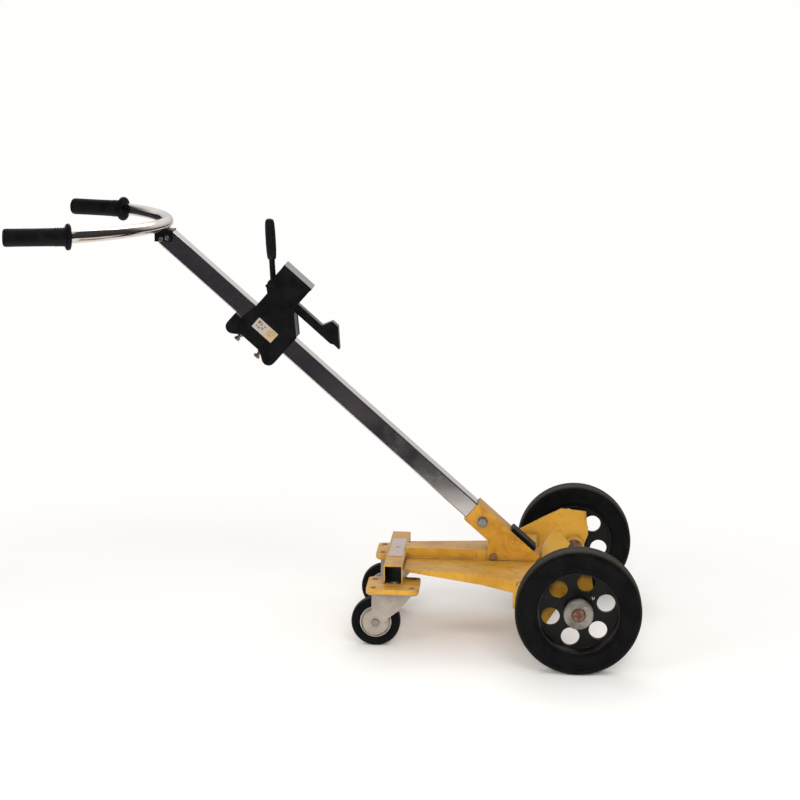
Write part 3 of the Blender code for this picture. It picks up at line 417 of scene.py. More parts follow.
def head_label():
    """Pale film with an amber half and a few plain dashes; nothing on it reads as lettering."""
    look = Look("head_label_film")
    start = on_mast(256, 3)
    s = look.math("SUBTRACT", look.dot(look.place, tuple(MAST_S)), start.dot(MAST_S))
    n = look.math("SUBTRACT", look.dot(look.place, tuple(MAST_N)), start.dot(MAST_N))
    mottle = look.noise(140.0, 4.0)
    amber = look.ramp(s, 0.0295, 0.0305)
    base = look.mix(amber, (0.33, 0.29, 0.265), (0.36, 0.265, 0.150))
    ink = None
    for lo_s, hi_s, lo_n, hi_n in ((4, 10, 14, 21), (10, 15, 5, 10), (12, 15, 13, 20), (17, 22, 8, 13),
                                   (20, 24, 15, 19), (5, 8, 6, 10), (33, 48, 15, 16.5), (33, 45, 9, 10.5),
                                   (36, 49, 20, 21)):
        patch = times(look, band(look, s, lo_s * MM, hi_s * MM), band(look, n, lo_n * MM, hi_n * MM))
        ink = patch if ink is None else look.math("MAXIMUM", ink, patch)
    base = look.mix(times(look, ink, 0.8), base, (0.085, 0.055, 0.035))
    base = look.mix(look.ramp(mottle, 0.5, 0.75, 0.0, 0.4), base, (0.42, 0.34, 0.24))
    look.set("Base Color", base)
    look.set("Roughness", look.ramp(mottle, 0.3, 0.7, 0.30, 0.48))
    look.bump(mottle, 0.05 * MM, 0.5)
    return look.mat


def frame_label():
    """Faded plain sticker, pinkish where the paint shows through."""
    look = Look("frame_label_film")
    mottle = look.noise(60.0, 5.0, 0.65)
    middle = box_middle("frame_label")
    base = look.mix(look.ramp(mottle, 0.35, 0.65), (0.35, 0.285, 0.235), (0.45, 0.375, 0.33))
    scrape = look.ramp(look.noise(150.0, 4.0, 0.7), 0.56, 0.64, 0.0, 0.6)
    base = look.mix(scrape, base, (0.50, 0.31, 0.12))
    tinge = look.ramp(look.noise(34.0, 4.0, 0.6, twist=0.5), 0.40, 0.62, 0.0, 0.6)
    base = look.mix(tinge, base, (0.40, 0.30, 0.33))
    away = look.node("ShaderNodeVectorMath", operation="DISTANCE")
    look.link(look.place, away.inputs[0])
    away.inputs[1].default_value = tuple(middle)
    dot_mark = look.ramp(away.outputs["Value"], 0.0035, 0.0050, 1.0, 0.0)
    base = look.mix(dot_mark, base, (0.07, 0.05, 0.045))
    look.set("Base Color", base)
    look.set("Roughness", look.ramp(mottle, 0.3, 0.7, 0.35, 0.55))
    look.bump(mottle, 0.08 * MM, 0.5)
    return look.mat


LOOKS = {
    "yellow_paint": yellow_paint(),
    "bright_chrome": chrome("bright_chrome", (0.62, 0.585, 0.565), (2.0, 9.0, 2.0), 0.18, 1.0 * MM),
    "bar_chrome": chrome("bar_chrome", (0.70, 0.635, 0.585), (4.0, 4.0, 12.0), 0.25),
    "black_paint": black_paint(),
    "black_rubber": hand_rubber(),
    "gloss_grip": knob_plastic(),
    "tread_rubber": tread_rubber(),
    "dark_rim": dark_rim(),
    "zinc_plate": plated("zinc_plate", (0.47, 0.415, 0.36), (0.33, 0.285, 0.245), 0.50, 0.40, 0.50),
    "cast_collar": plated("cast_collar", (0.30, 0.275, 0.245), (0.10, 0.088, 0.076), 0.35, 0.50, 0.85,
                          160.0, 0.35),
    "caster_centre": plated("caster_centre", (0.66, 0.62, 0.57), (0.50, 0.46, 0.41), 0.35, 0.42, 0.35),
    "bare_steel": plated("bare_steel", (0.50, 0.485, 0.47), (0.25, 0.235, 0.22), 0.9, 0.32, 0.6),
    "bright_steel": plated("bright_steel", (0.72, 0.71, 0.69), (0.45, 0.44, 0.42), 0.95, 0.24, 0.35),
    "dark_steel": plated("dark_steel", (0.17, 0.16, 0.15), (0.07, 0.062, 0.055), 0.8, 0.42, 0.6),
    "bronze_hardware": plated("bronze_hardware", (0.50, 0.42, 0.34), (0.24, 0.18, 0.13), 0.85, 0.34, 0.6),
    "rusty_screw": plated("rusty_screw", (0.26, 0.140, 0.060), (0.13, 0.070, 0.035), 0.30, 0.50, 0.50),
    "brown_steel": turned_steel(),
    "white_nylon": nylon(),
    "head_label": head_label(),
    "frame_label": frame_label(),
}


# ---------------------------------------------------------------- geometry helpers

def new_object(name, bm, look, crease=38.0):
    bmesh.ops.recalc_face_normals(bm, faces=bm.faces)
    mesh = bpy.data.meshes.new(name)
    bm.to_mesh(mesh)
    bm.free()
    obj = bpy.data.objects.new(name, mesh)
    bpy.context.scene.collection.objects.link(obj)
    mesh.shade_smooth()
    mesh.set_sharp_from_angle(angle=math.radians(crease))
    mesh.materials.append(LOOKS[look])
    return obj


def stand_for(obj, body, slot, *nodes):
    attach(obj, body)
    if nodes:
        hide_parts(*nodes)
    return obj


def rounded(points, radius, steps=3, closed=True):
    """Outline with each corner turned into a short arc; radius shrinks on short sides."""
    out = []
    count = len(points)
    for i, here in enumerate(points):
        here = Vector(here)
        if not closed and i in (0, count - 1):
            out.append(tuple(here))
            continue
        before = Vector(points[i - 1]) - here
        after = Vector(points[(i + 1) % count]) - here
        reach = min(radius, before.length * 0.45, after.length * 0.45)
        if here.x < 1e-6 or reach < 1e-6:
            out.append(tuple(here))
            continue
        a = here + before.normalized() * reach
        b = here + after.normalized() * reach
        for k in range(steps + 1):
            t = k / steps
            point = a * (1 - t) ** 2 + here * (2 * t * (1 - t)) + b * t ** 2
            out.append((point.x, point.y))
    return out


def aim_matrix(centre, axis):
    turn = Vector(axis).to_track_quat("Z", "Y").to_matrix().to_4x4()
    return Matrix.Translation(Vector(centre)) @ turn


def lathe(name, points, centre, axis, look, segments=72, closed=True, crease=38.0):
    """Solid of revolution from (radius, offset along axis) points, about centre."""
    bm = bmesh.new()
    rings = add_turned(bm, points, segments)
    if closed:
        join_rings(bm, rings[-1], rings[0])
    bmesh.ops.transform(bm, matrix=aim_matrix(centre, axis), verts=bm.verts)
    return new_object(name, bm, look, crease)


def add_turned(bm, points, segments):
    """Rings of a turned surface, joined one to the next; a point on the axis closes it."""
    rings = []
    for radius, offset in points:
        if radius < 1e-6:
            rings.append([bm.verts.new((0.0, 0.0, offset))])
            continue
        ring = []
        for k in range(segments):
            a = 2 * math.pi * k / segments
            ring.append(bm.verts.new((radius * math.cos(a), radius * math.sin(a), offset)))
        rings.append(ring)
    for low, high in zip(rings, rings[1:]):
        join_rings(bm, low, high)
    return rings


def join_rings(bm, low, high):
    count = max(len(low), len(high))
    for k in range(count):
        nxt = (k + 1) % count
        corners = []
        for ring, index in ((low, k), (low, nxt), (high, nxt), (high, k)):
            vert = ring[index % len(ring)]
            if vert not in corners:
                corners.append(vert)
        if len(corners) > 2:
            bm.faces.new(corners)


def tube(name, path, radius_at, look, sides=32, crease=60.0):
    """Closed round bar along a path; radius_at(i, share) gives the radius at each point."""
    bm = bmesh.new()
    rings = []
    count = len(path)
    up = Vector((0.0, 0.0, 1.0))
    for i, point in enumerate(path):
        ahead = Vector(path[min(i + 1, count - 1)]) - Vector(path[max(i - 1, 0)])
        ahead.normalize()
        if abs(ahead.dot(up)) > 0.95:
            up = Vector((1.0, 0.0, 0.0))
        across = ahead.cross(up).normalized()
        lift = across.cross(ahead).normalized()
        r = radius_at(i, i / (count - 1))
        ring = []
        for k in range(sides):
            a = 2 * math.pi * k / sides
            ring.append(bm.verts.new(Vector(point) + (across * math.cos(a) + lift * math.sin(a)) * r))
        rings.append(ring)
    for low, high in zip(rings, rings[1:]):
        join_rings(bm, low, high)
    bm.faces.new(rings[0])
    bm.faces.new(list(reversed(rings[-1])))
    return new_object(name, bm, look, crease)


def weld_bead(name, start, end, radius, look="yellow_paint", body="frame"):
    """Ripple of overlapping weld scales between two points, sunk half into the joint."""
    start = Vector(start)
    end = Vector(end)
    length = (end - start).length
    count = max(8, int(length / (0.8 * MM)))
    path = []
    for i in range(count + 1):
        t = i / count
        wander = Vector((RANDOM.uniform(-1, 1), RANDOM.uniform(-1, 1), RANDOM.uniform(-1, 1)))
        path.append(start.lerp(end, t) + wander * (0.10 * radius))

    def swell(i, t):
        ripple = 1.0 + 0.13 * math.sin(i * 2.1) + RANDOM.uniform(-0.05, 0.05)
        taper = min(1.0, 0.45 + 8.0 * min(t, 1.0 - t))
        return radius * ripple * taper

    bead = tube(name, path, swell, look, 10, 75.0)
    return stand_for(bead, body, "yellow_paint")


def prism(bm, sides, radius, low, high, turn=0.0):
    top = []
    bottom = []
    for k in range(sides):
        a = 2 * math.pi * k / sides + turn
        x = radius * math.cos(a)
        y = radius * math.sin(a)
        bottom.append(bm.verts.new((x, y, low)))
        top.append(bm.verts.new((x, y, high)))
    join_rings(bm, bottom, top)
    bm.faces.new(top)
    bm.faces.new(list(reversed(bottom)))


def hex_body(bm, radius, low, high, cone_low, cone_high, turn=0.0):
    """Hexagon, its corners turned down to a cone at the chosen ends, as on a pressed bolt head."""
    steps = 24
    flat = radius * math.cos(math.pi / 6)
    cone_radius = flat * 0.985
    cone_slope = 0.58
    sliver = 0.01 * MM
    rings = [[], [], [], []]
    for k in range(steps):
        a = 2 * math.pi * k / steps + turn
        edge = flat / math.cos(((a - turn) % (math.pi / 3)) - math.pi / 6)
        drop = (edge - cone_radius) * cone_slope
        for ring, r, height in (
                (rings[0], min(edge, cone_radius) if cone_low else edge, low),
                (rings[1], edge, low + (drop if cone_low else sliver)),
                (rings[2], edge, high - (drop if cone_high else sliver)),
                (rings[3], min(edge, cone_radius) if cone_high else edge, high)):
            ring.append(bm.verts.new((r * math.cos(a), r * math.sin(a), height)))
    for a, b in zip(rings, rings[1:]):
        join_rings(bm, a, b)
    bm.faces.new(rings[-1])
    bm.faces.new(list(reversed(rings[0])))


WASHER_Z = (-0.2 * MM, 2.2 * MM)
THREAD_PITCH = 0.9 * MM
THREAD_ROOT = 0.88


def bolt(name, look, start, axis, head_radius, head, shank_radius, length, nut=0.0, washer=0.0,
         tail=2.0 * MM, turn=0.2):
    """Hex bolt: head before start, shank along axis, nut and rolled thread at the far end."""
    bm = bmesh.new()
    hex_body(bm, head_radius, -head, 0.0, True, False, turn)
    if washer > 0.0:
        prism(bm, 40, washer, *WASHER_Z)
    pieces = [(0.0, -head * 0.5), (shank_radius, -head * 0.5)]
    reach = length + nut + tail
    pieces.append((shank_radius, length + nut - 0.2 * MM if nut > 0.0 else reach - 1.0 * MM))
    if nut > 0.0:
        z = length + nut
        while z < reach - THREAD_PITCH:
            pieces.append((shank_radius * THREAD_ROOT, z))
            pieces.append((shank_radius, z + 0.4 * MM))
            z += THREAD_PITCH
    pieces.append((shank_radius * 0.8, reach))
    pieces.append((0.0, reach))
    add_turned(bm, pieces, 24)
    if nut > 0.0:
        hex_body(bm, head_radius, length, length + nut, True, True, turn + 0.5)
    bmesh.ops.transform(bm, matrix=aim_matrix(start, axis), verts=bm.verts)
    return new_object(name, bm, look, 30.0)


def scaled(points):
    return [(a * MM, b * MM) for a, b in points]


# ---------------------------------------------------------------- CAD pieces kept as they are

def paint(node, look):
    obj = NODES[node]
    if not obj.material_slots:
        obj.data.materials.append(LOOKS[look])
    for place in obj.material_slots:
        place.material = LOOKS[look]


KEPT = {
    "yellow_paint": ["base_frame", "axle_carrier", "mast_socket"],
    "bright_chrome": ["mast"],
    "bright_steel": ["mast_nut"],
    "bronze_hardware": ["gib_nut_1", "gib_nut_2"],
    "black_paint": ["handle_clamp", "clamp_head", "clamp_jaw"],
    "black_rubber": ["rest_pad"],
    "white_nylon": ["slide_pad_upper", "slide_pad_lower"],
    "zinc_plate": ["caster_plate_left", "caster_plate_right", "caster_fork_left", "caster_fork_right"],
    "head_label": ["head_label"],
    "frame_label": ["frame_label"],
}
for look_name, node_names in KEPT.items():
    for node_name in node_names:
        paint(node_name, look_name)


# ---------------------------------------------------------------- main wheels

WEB_HOLE_COUNT = 6
WEB_HOLE_RADIUS = 18.2 * MM
WEB_HOLE_CIRCLE = 56.0 * MM
WEB_HOLE_FIRST = math.radians(15.0)
NIPPLE_CIRCLE = 38.0 * MM
COLLAR_MIDDLE = 350.0 * MM
COLLAR_FACE = 359.0 * MM
COLLAR_SCREW_CLOCK = math.radians(52.0)
COLLAR_PIP_CIRCLE = 21.0 * MM


def tyre_outline():
    half = [(81.3, 25.8), (85.0, 27.0), (89.0, 29.5), (90.5, 30.0), (92.0, 29.2), (112.0, 29.2),
            (113.2, 30.0), (115.6, 30.0), (120.6, 27.6), (123.6, 23.0), (124.5, 18.0), (124.5, 1.2),
            (123.9, 0.6)]
    return scaled(half + [(r, -z) for r, z in reversed(half)])


def rim_outline():
    return scaled([(81.0, 27.0), (81.0, -27.0), (78.0, -27.0), (77.0, -15.0), (28.0, -15.0),
                   (26.0, -27.0), (17.8, -27.0), (17.8, 20.0), (26.0, 20.0), (27.6, 4.0),
                   (29.5, -5.0), (72.5, -5.0), (74.0, -3.4), (77.0, -3.4), (78.0, 27.0)])


def apply_cut(obj, cutter, crease=30.0):
    mod = obj.modifiers.new("cut", "BOOLEAN")
    mod.solver = "EXACT"
    mod.operation = "DIFFERENCE"
    mod.object = cutter
    graph = bpy.context.evaluated_depsgraph_get()
    mesh = bpy.data.meshes.new_from_object(obj.evaluated_get(graph))
    obj.modifiers.clear()
    obj.data = mesh
    mesh.shade_smooth()
    mesh.set_sharp_from_angle(angle=math.radians(crease))
    bpy.data.objects.remove(cutter, do_unlink=True)


def turned_cutter_matrix(tag):
    """CAD holes are clocked in the frame that turns the wheel's local Z outwards."""
    side = side_of(tag)
    return Matrix.Rotation(math.radians(-90.0 * side), 4, "X")


def build_wheel(tag):
    body = "main_wheel_" + tag
    centre = Vector(JOINTS["main_wheel_spin_" + tag]["pos_m"])
    out = Y_AXIS * side_of(tag)
    tyre = lathe("tyre_" + tag, rounded(tyre_outline(), 1.2 * MM, 2), centre, out, "tread_rubber", 96)
    stand_for(tyre, body, "tread_rubber", "wheel_tyre_" + tag)
    rim = lathe("rim_" + tag, rounded(rim_outline(), 1.6 * MM, 3), centre, out, "dark_rim", 96)
    bm = bmesh.new()
    for i in range(WEB_HOLE_COUNT):
        a = WEB_HOLE_FIRST + 2 * math.pi * i / WEB_HOLE_COUNT
        before = set(bm.verts)
        prism(bm, 40, WEB_HOLE_RADIUS, -40.0 * MM, 10.0 * MM)
        fresh = [v for v in bm.verts if v not in before]
        shift = (WEB_HOLE_CIRCLE * math.cos(a), WEB_HOLE_CIRCLE * math.sin(a), 0.0)
        bmesh.ops.translate(bm, vec=shift, verts=fresh)
    place = Matrix.Translation(centre) @ turned_cutter_matrix(tag)
    bmesh.ops.transform(bm, matrix=place, verts=bm.verts)
    cutter = new_object("web_cutter_" + tag, bm, "dark_rim")
    apply_cut(rim, cutter)
    stand_for(rim, body, "dark_rim", "wheel_rim_" + tag)
    bearing = lathe("bearing_" + tag, rounded(scaled([(17.5, 19), (17.5, -26), (12.8, -26), (12.8, 19)]),
                                              0.6 * MM, 2), centre, out, "bare_steel", 48)
    stand_for(bearing, body, "bare_steel", "wheel_bearing_" + tag)
    reach = NIPPLE_CIRCLE * math.sqrt(0.5)
    spot = centre + Vector((reach, 0.0, reach))
    nipple = lathe("nipple_" + tag, scaled([(0, 7), (1.3, 7), (1.9, 6.6), (2.6, 5.6), (2.6, 4.6),
                                            (1.8, 3.6), (1.8, 3.0), (3.2, 2.6), (4.4, 2.2), (4.4, -1.2),
                                            (3.0, -1.6), (3.0, -4.7), (0, -4.7)]),
                   spot, out, "bright_steel", 24, False, 28.0)
    stand_for(nipple, body, "zinc_plate", "grease_nipple_" + tag)


def build_axle(tag):
    centre = Vector(JOINTS["main_wheel_spin_" + tag]["pos_m"])
    foot = Vector((centre.x, 0.0, centre.z))
    out = Y_AXIS * side_of(tag)
    axle = lathe("axle_" + tag, rounded(scaled([(0, 361.2), (2.4, 361.2), (3.2, 362), (11, 362),
                                                (12.5, 360.5), (12.5, 241), (17, 241), (17, 235),
                                                (0, 235)]), 0.4 * MM, 2, False),
                 foot, out, "brown_steel", 48, False)
    stand_for(axle, "frame", "brown_steel", "stub_axle_" + tag)
    collar = lathe("collar_" + tag, rounded(scaled([(27, 359), (29, 357.2), (29, 342.5), (27.5, 341),
                                                    (12.8, 341), (12.8, 357.8), (14.2, 359)]),
                                            0.7 * MM, 2), foot, out, "cast_collar", 72)
    stand_for(collar, "frame", "cast_collar", "shaft_collar_" + tag)
    dent = Vector((math.cos(COLLAR_SCREW_CLOCK), 0.0, math.sin(COLLAR_SCREW_CLOCK)))
    screw = lathe("collar_screw_" + tag, scaled([(0, 26), (1.6, 26), (1.6, 28.4), (3.1, 28.4), (3.4, 27.6),
                                                 (3.4, 20), (0, 20)]),
                  foot + out * COLLAR_MIDDLE, dent, "dark_steel", 24, False)
    stand_for(screw, "frame", "bare_steel")
    pop = lathe("collar_pip_" + tag, scaled([(0, 1.1), (1.9, 0.8), (2.6, 0.0), (2.6, -1.5), (0, -1.5)]),
                foot + out * COLLAR_FACE + dent * COLLAR_PIP_CIRCLE, out, "bright_steel", 20, False)
    stand_for(pop, "frame", "bare_steel")


for wheel_tag in ("left", "right"):
    build_wheel(wheel_tag)
    build_axle(wheel_tag)


# ---------------------------------------------------------------- casters

FORK_FACE = 21.3 * MM


def build_caster(tag):
    centre = Vector(JOINTS["caster_spin_" + tag]["pos_m"])
    turn = Vector(JOINTS["caster_turn_" + tag]["pos_m"])
    out = Y_AXIS * side_of(tag)
    tyre_points = scaled([(44, 14), (45.4, 13.8), (48.6, 11.5), (50, 7), (50, -7), (48.6, -11.5),
                          (45.4, -13.8), (44, -14), (34.5, -13.6), (32.4, -12), (32.4, 12), (34.5, 13.6)])
    tyre = lathe("caster_ring_" + tag, rounded(tyre_points, 1.4 * MM, 3), centre, out,
                 "tread_rubber", 72)
    stand_for(tyre, "caster_roller_" + tag, "tread_rubber", "caster_tyre_" + tag)
    core_points = scaled([(32, 12), (32, -12), (31.2, -13.4), (30.2, -13.6), (29.4, -12), (29, -8),
                          (27.6, -5.4), (21, -4.8), (13.5, -6), (12, -9), (12, -17), (5.4, -17),
                          (5.4, 17), (12, 17), (12, 9), (13.5, 6), (21, 4.8), (27.6, 5.4), (29, 8),
                          (29.4, 12), (30.2, 13.6), (31.2, 13.4)])
    core = lathe("caster_centre_" + tag, rounded(core_points, 0.8 * MM, 2), centre, out,
                 "caster_centre", 64)
    stand_for(core, "caster_roller_" + tag, "caster_centre", "caster_wheel_" + tag)
    axle = bolt("caster_bolt_" + tag, "bare_steel", centre - Y_AXIS * FORK_FACE, Y_AXIS, 7.8 * MM,
                4.5 * MM, 5.0 * MM, 2 * FORK_FACE, 6.0 * MM, tail=2.0 * MM)
    stand_for(axle, "caster_swivel_" + tag, "bare_steel", "caster_axle_" + tag)
    pin = lathe("king_bolt_" + tag, rounded(scaled([(0, 119.2), (6, 119.2), (6, 109.5), (10, 109.5),
                                                    (10, 102.8), (0, 102.8)]), 0.7 * MM, 2, False),
                (turn.x, turn.y, 0.0), (0, 0, 1), "bare_steel", 40, False)
    stand_for(pin, "frame", "bare_steel", "kingpin_" + tag)
    dish = lathe("swivel_race_" + tag, rounded(scaled([(31.5, 116.0), (32.2, 114.7), (31.0, 113.4),
                                                       (27.5, 113.2), (27.5, 116.0)]), 0.4 * MM, 2),
                 (turn.x, turn.y, 0.0), (0, 0, 1), "dark_steel", 56)
    stand_for(dish, "frame", "zinc_plate")
    for i in range(4):
        node = f"plate_screw_{tag}_{i + 1}"
        spot = box_middle(node)
        head = lathe(f"button_screw_{tag}_{i + 1}",
                     scaled([(0, 130.3), (1.7, 130.3), (1.9, 131.4), (2.6, 131.3), (4.4, 130.8),
                             (5.7, 130.0), (6.0, 129.4), (3.7, 129.4), (3.7, 116.2), (3.2, 115.6),
                             (0, 115.6)]),
                     (spot.x, spot.y, 0.0), (0, 0, 1), "rusty_screw", 28, False, 30.0)
        stand_for(head, "frame", "bare_steel", node)


for caster_tag in ("left", "right"):
    build_caster(caster_tag)


# ---------------------------------------------------------------- handle

GRIP_SPLAY = math.radians(19.4)
GRIP_LENGTH = 130.0 * MM
HANDLE_RADIUS = 12.5 * MM
HANDLE_LEAD = 170.0 * MM
GRIP_FLANGE_RADIUS = 26.0 * MM


def flange_point(tag):
    """Middle of a grip's flange, found from the grip's far end."""
    lo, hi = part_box("grip_" + tag)
    x = hi[0] - GRIP_FLANGE_RADIUS * math.sin(GRIP_SPLAY)
    y = lo[1] if tag == "left" else hi[1]
    y += side_of(tag) * GRIP_FLANGE_RADIUS * math.cos(GRIP_SPLAY)
    return Vector((x, y, (lo[2] + hi[2]) / 2))


def handle_path():
    bar_lo, bar_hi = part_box("handlebar")
    apex_x = bar_hi[0] - HANDLE_RADIUS
    height = (bar_lo[2] + bar_hi[2]) / 2
    d = flange_point("left")
    outward = Vector((-math.cos(GRIP_SPLAY), math.sin(GRIP_SPLAY), 0.0))
    a = Vector((apex_x, 0.0, height))
    b = a + Vector((0.0, HANDLE_LEAD, 0.0))
    c = d - outward * 20.0 * MM
    half = [a + Vector((0.0, 4.5 * MM * k, 0.0)) for k in range(4)]
    steps = 44
    for i in range(4, steps):
        u = i / steps
        w = 1.0 - u
        half.append(a * w ** 3 + b * 3 * w * w * u + c * 3 * w * u * u + d * u ** 3)
    half.append(d - outward * 2.0 * MM)
    half.append(d + outward * 60.0 * MM)
    half.append(d + outward * (GRIP_LENGTH - 8.0 * MM))
    near = [Vector((p.x, -p.y, p.z)) for p in reversed(half[1:])]
    return near + half


bar = tube("handle_bar", handle_path(), lambda i, t: HANDLE_RADIUS, "bar_chrome", 40)
stand_for(bar, "frame", "bright_chrome", "handlebar")


def grip_outline():
    """Hand grip from its closed end to its flange, with shallow moulded rings by the flange."""
    body = [(0, 129.6), (14.0, 129.6), (16.4, 128.4), (17.4, 126.0), (17.7, 121.5), (17.6, 118.0),
            (17.5, 112.0), (17.4, 70.0), (17.7, 34.0)]
    for start in (30.0, 25.0, 20.0):
        body += [(17.7, start), (18.3, start - 1.0), (18.3, start - 2.6), (17.7, start - 3.6)]
    body += [(18.2, 14.0), (19.6, 9.6), (23.6, 8.6), (25.4, 7.4), (26.0, 5.4), (26.0, 2.8), (25.0, 0.9),
             (23.0, 0.0), (12.9, 0.0), (12.9, 124.5), (0, 124.5)]
    return scaled(body)


for grip_tag in ("left", "right"):
    reach_out = Vector((-math.cos(GRIP_SPLAY), side_of(grip_tag) * math.sin(GRIP_SPLAY), 0.0))
    grip = lathe("hand_grip_" + grip_tag, grip_outline(), flange_point(grip_tag), reach_out,
                 "black_rubber", 64, False, 45.0)
    stand_for(grip, "frame", "black_rubber", "grip_" + grip_tag)


# ---------------------------------------------------------------- bolts on the mast and the frame

SOCKET_BOLT = (881.0, 18.0, -32.6)
EAR_FACE = 29.3 * MM
BLOCK_FACE = 25.3 * MM
mast_bolt = bolt("socket_bolt", "bare_steel", on_mast(*SOCKET_BOLT), Y_AXIS, 9.0 * MM, 6.0 * MM,
                 6.0 * MM, 71.6 * MM, 0.0, 11.0 * MM, tail=4.0 * MM)
stand_for(mast_bolt, "frame", "bare_steel", "mast_bolt")
leg_spot = box_middle("leg_bolt")
leg_bolt = bolt("ear_bolt", "rusty_screw", (leg_spot.x, -EAR_FACE, leg_spot.z), Y_AXIS, 7.6 * MM,
                5.5 * MM, 4.6 * MM, 2 * EAR_FACE, 6.5 * MM)
stand_for(leg_bolt, "frame", "bare_steel", "leg_bolt")
for bolt_index in (1, 2):
    spot = box_middle(f"clamp_bolt_{bolt_index}")
    fixing = bolt(f"block_bolt_{bolt_index}", "bright_steel", (spot.x, -BLOCK_FACE, spot.z), Y_AXIS,
                  5.2 * MM, 4.0 * MM, 3.0 * MM, 2 * BLOCK_FACE, 4.5 * MM, turn=0.2 + bolt_index)
    stand_for(fixing, "frame", "bare_steel", f"clamp_bolt_{bolt_index}")


# ---------------------------------------------------------------- clamp head

GIB_S = (251.0, 305.0)
GIB_START_N = -41.0
for gib_index, gib_s in enumerate(GIB_S):
    gib = bolt(f"gib_bolt_{gib_index + 1}", "bronze_hardware", on_mast(gib_s, GIB_START_N), MAST_N,
               7.0 * MM, 5.0 * MM, 4.0 * MM, 32.6 * MM, 0.0, turn=0.4 * gib_index)
    stand_for(gib, "head", "bronze_hardware", f"gib_screw_{gib_index + 1}")

COIL_TURNS = 5
COIL_START = 254.0
COIL_RISE = 33.5
COIL_N = 116.0
COIL_RADIUS = 8.0
COIL_FOOT_S = 289.0


def coil_path():
    points = []
    steps = COIL_TURNS * 28
    for i in range(steps + 1):
        a = 2 * math.pi * COIL_TURNS * i / steps
        s = COIL_START + COIL_RISE * i / steps
        points.append(on_mast(s, COIL_N + COIL_RADIUS * math.sin(a), COIL_RADIUS * math.cos(a)))
    return points


coil = tube("return_coil", coil_path(), lambda i, t: 1.2 * MM, "bright_steel", 12)
stand_for(coil, "head", "bare_steel", "jaw_spring")
tuple(on_mast(COIL_FOOT_S, COIL_N))
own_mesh(coil)

pin_points = rounded(scaled([(0, 40.4), (6, 40.4), (7, 39.6), (7, 37.4), (4.4, 37.4), (4.4, -37.4),
                             (7, -37.4), (7, -39.6), (6, -40.4), (0, -40.4)]), 0.35 * MM, 2, False)
LEVER_PIVOT = on_mast(228.5, 95.6)
pivot_pin = lathe("pivot_pin", pin_points, LEVER_PIVOT, Y_AXIS, "black_paint", 40, False)
stand_for(pivot_pin, "head", "bare_steel", "lever_pin")


# ---------------------------------------------------------------- lever

LEVER_AIM = (MAST_S * -0.706 + MAST_N * 0.708).normalized()
LEVER_REACH = 131.0


def lever_grip_outline():
    end = LEVER_REACH
    return scaled([(0, end), (3.4, end - 0.3), (6.4, end - 1.7), (8.4, end - 4.0), (9.5, end - 8.0),
                   (10.0, end - 14.0), (10.5, end - 28.0), (10.6, end - 50.0), (10.3, 64.0), (9.4, 53.0),
                   (8.9, 49.6), (8.2, 47.4), (7.4, 46.7), (6.3, 46.7), (6.3, end - 8.6),
                   (0, end - 8.6)])


knob = lathe("lever_knob", lever_grip_outline(), LEVER_PIVOT, LEVER_AIM, "gloss_grip", 48, False, 45.0)
stand_for(knob, "lever", "gloss_grip", "lever_grip")
paint("lever_arm", "black_paint")


# ---------------------------------------------------------------- welds

def build_welds():
    swivel = JOINTS["caster_turn_left"]["pos_m"][0]
    face = swivel + 19.0 * MM
    weld_bead("weld_leg_left", (face, 25.6 * MM, 140 * MM), (face, 25.6 * MM, 167 * MM), 2.2 * MM)
    weld_bead("weld_leg_right", (face, -25.6 * MM, 140 * MM), (face, -25.6 * MM, 167 * MM), 2.2 * MM)
    weld_bead("weld_leg_deck_right", (face + 4 * MM, -26.2 * MM, 154.2 * MM),
              (face + 60 * MM, -26.2 * MM, 154.2 * MM), 1.6 * MM)
    for side in (-1, 1):
        tag = "right" if side < 0 else "left"
        for end, x in (("rear", swivel - 19.6 * MM), ("front", swivel + 19.6 * MM)):
            weld_bead(f"weld_plate_{end}_{tag}", (x, side * 104 * MM, 129.8 * MM),
                      (x, side * 160 * MM, 129.8 * MM), 1.9 * MM)
        weld_bead(f"weld_end_{tag}", (swivel - 19 * MM, side * 162.4 * MM, 131.0 * MM),
                  (swivel + 19 * MM, side * 162.4 * MM, 131.0 * MM), 3.6 * MM)


build_welds()


# ---------------------------------------------------------------- studio

WHITE = (1.0, 0.992, 0.985, 1.0)


def white_where(look, surface, factor, color, strength=1.0):
    """Surface shader with an emission laid over it by factor."""
    glow = look.node("ShaderNodeEmission")
    look.put(glow.inputs["Color"], color)
    look.put(glow.inputs["Strength"], strength)
    blend = look.node("ShaderNodeMixShader")
    look.link(factor, blend.inputs[0])
    look.link(surface, blend.inputs[1])
    look.link(glow.outputs[0], blend.inputs[2])
    return blend.outputs[0]


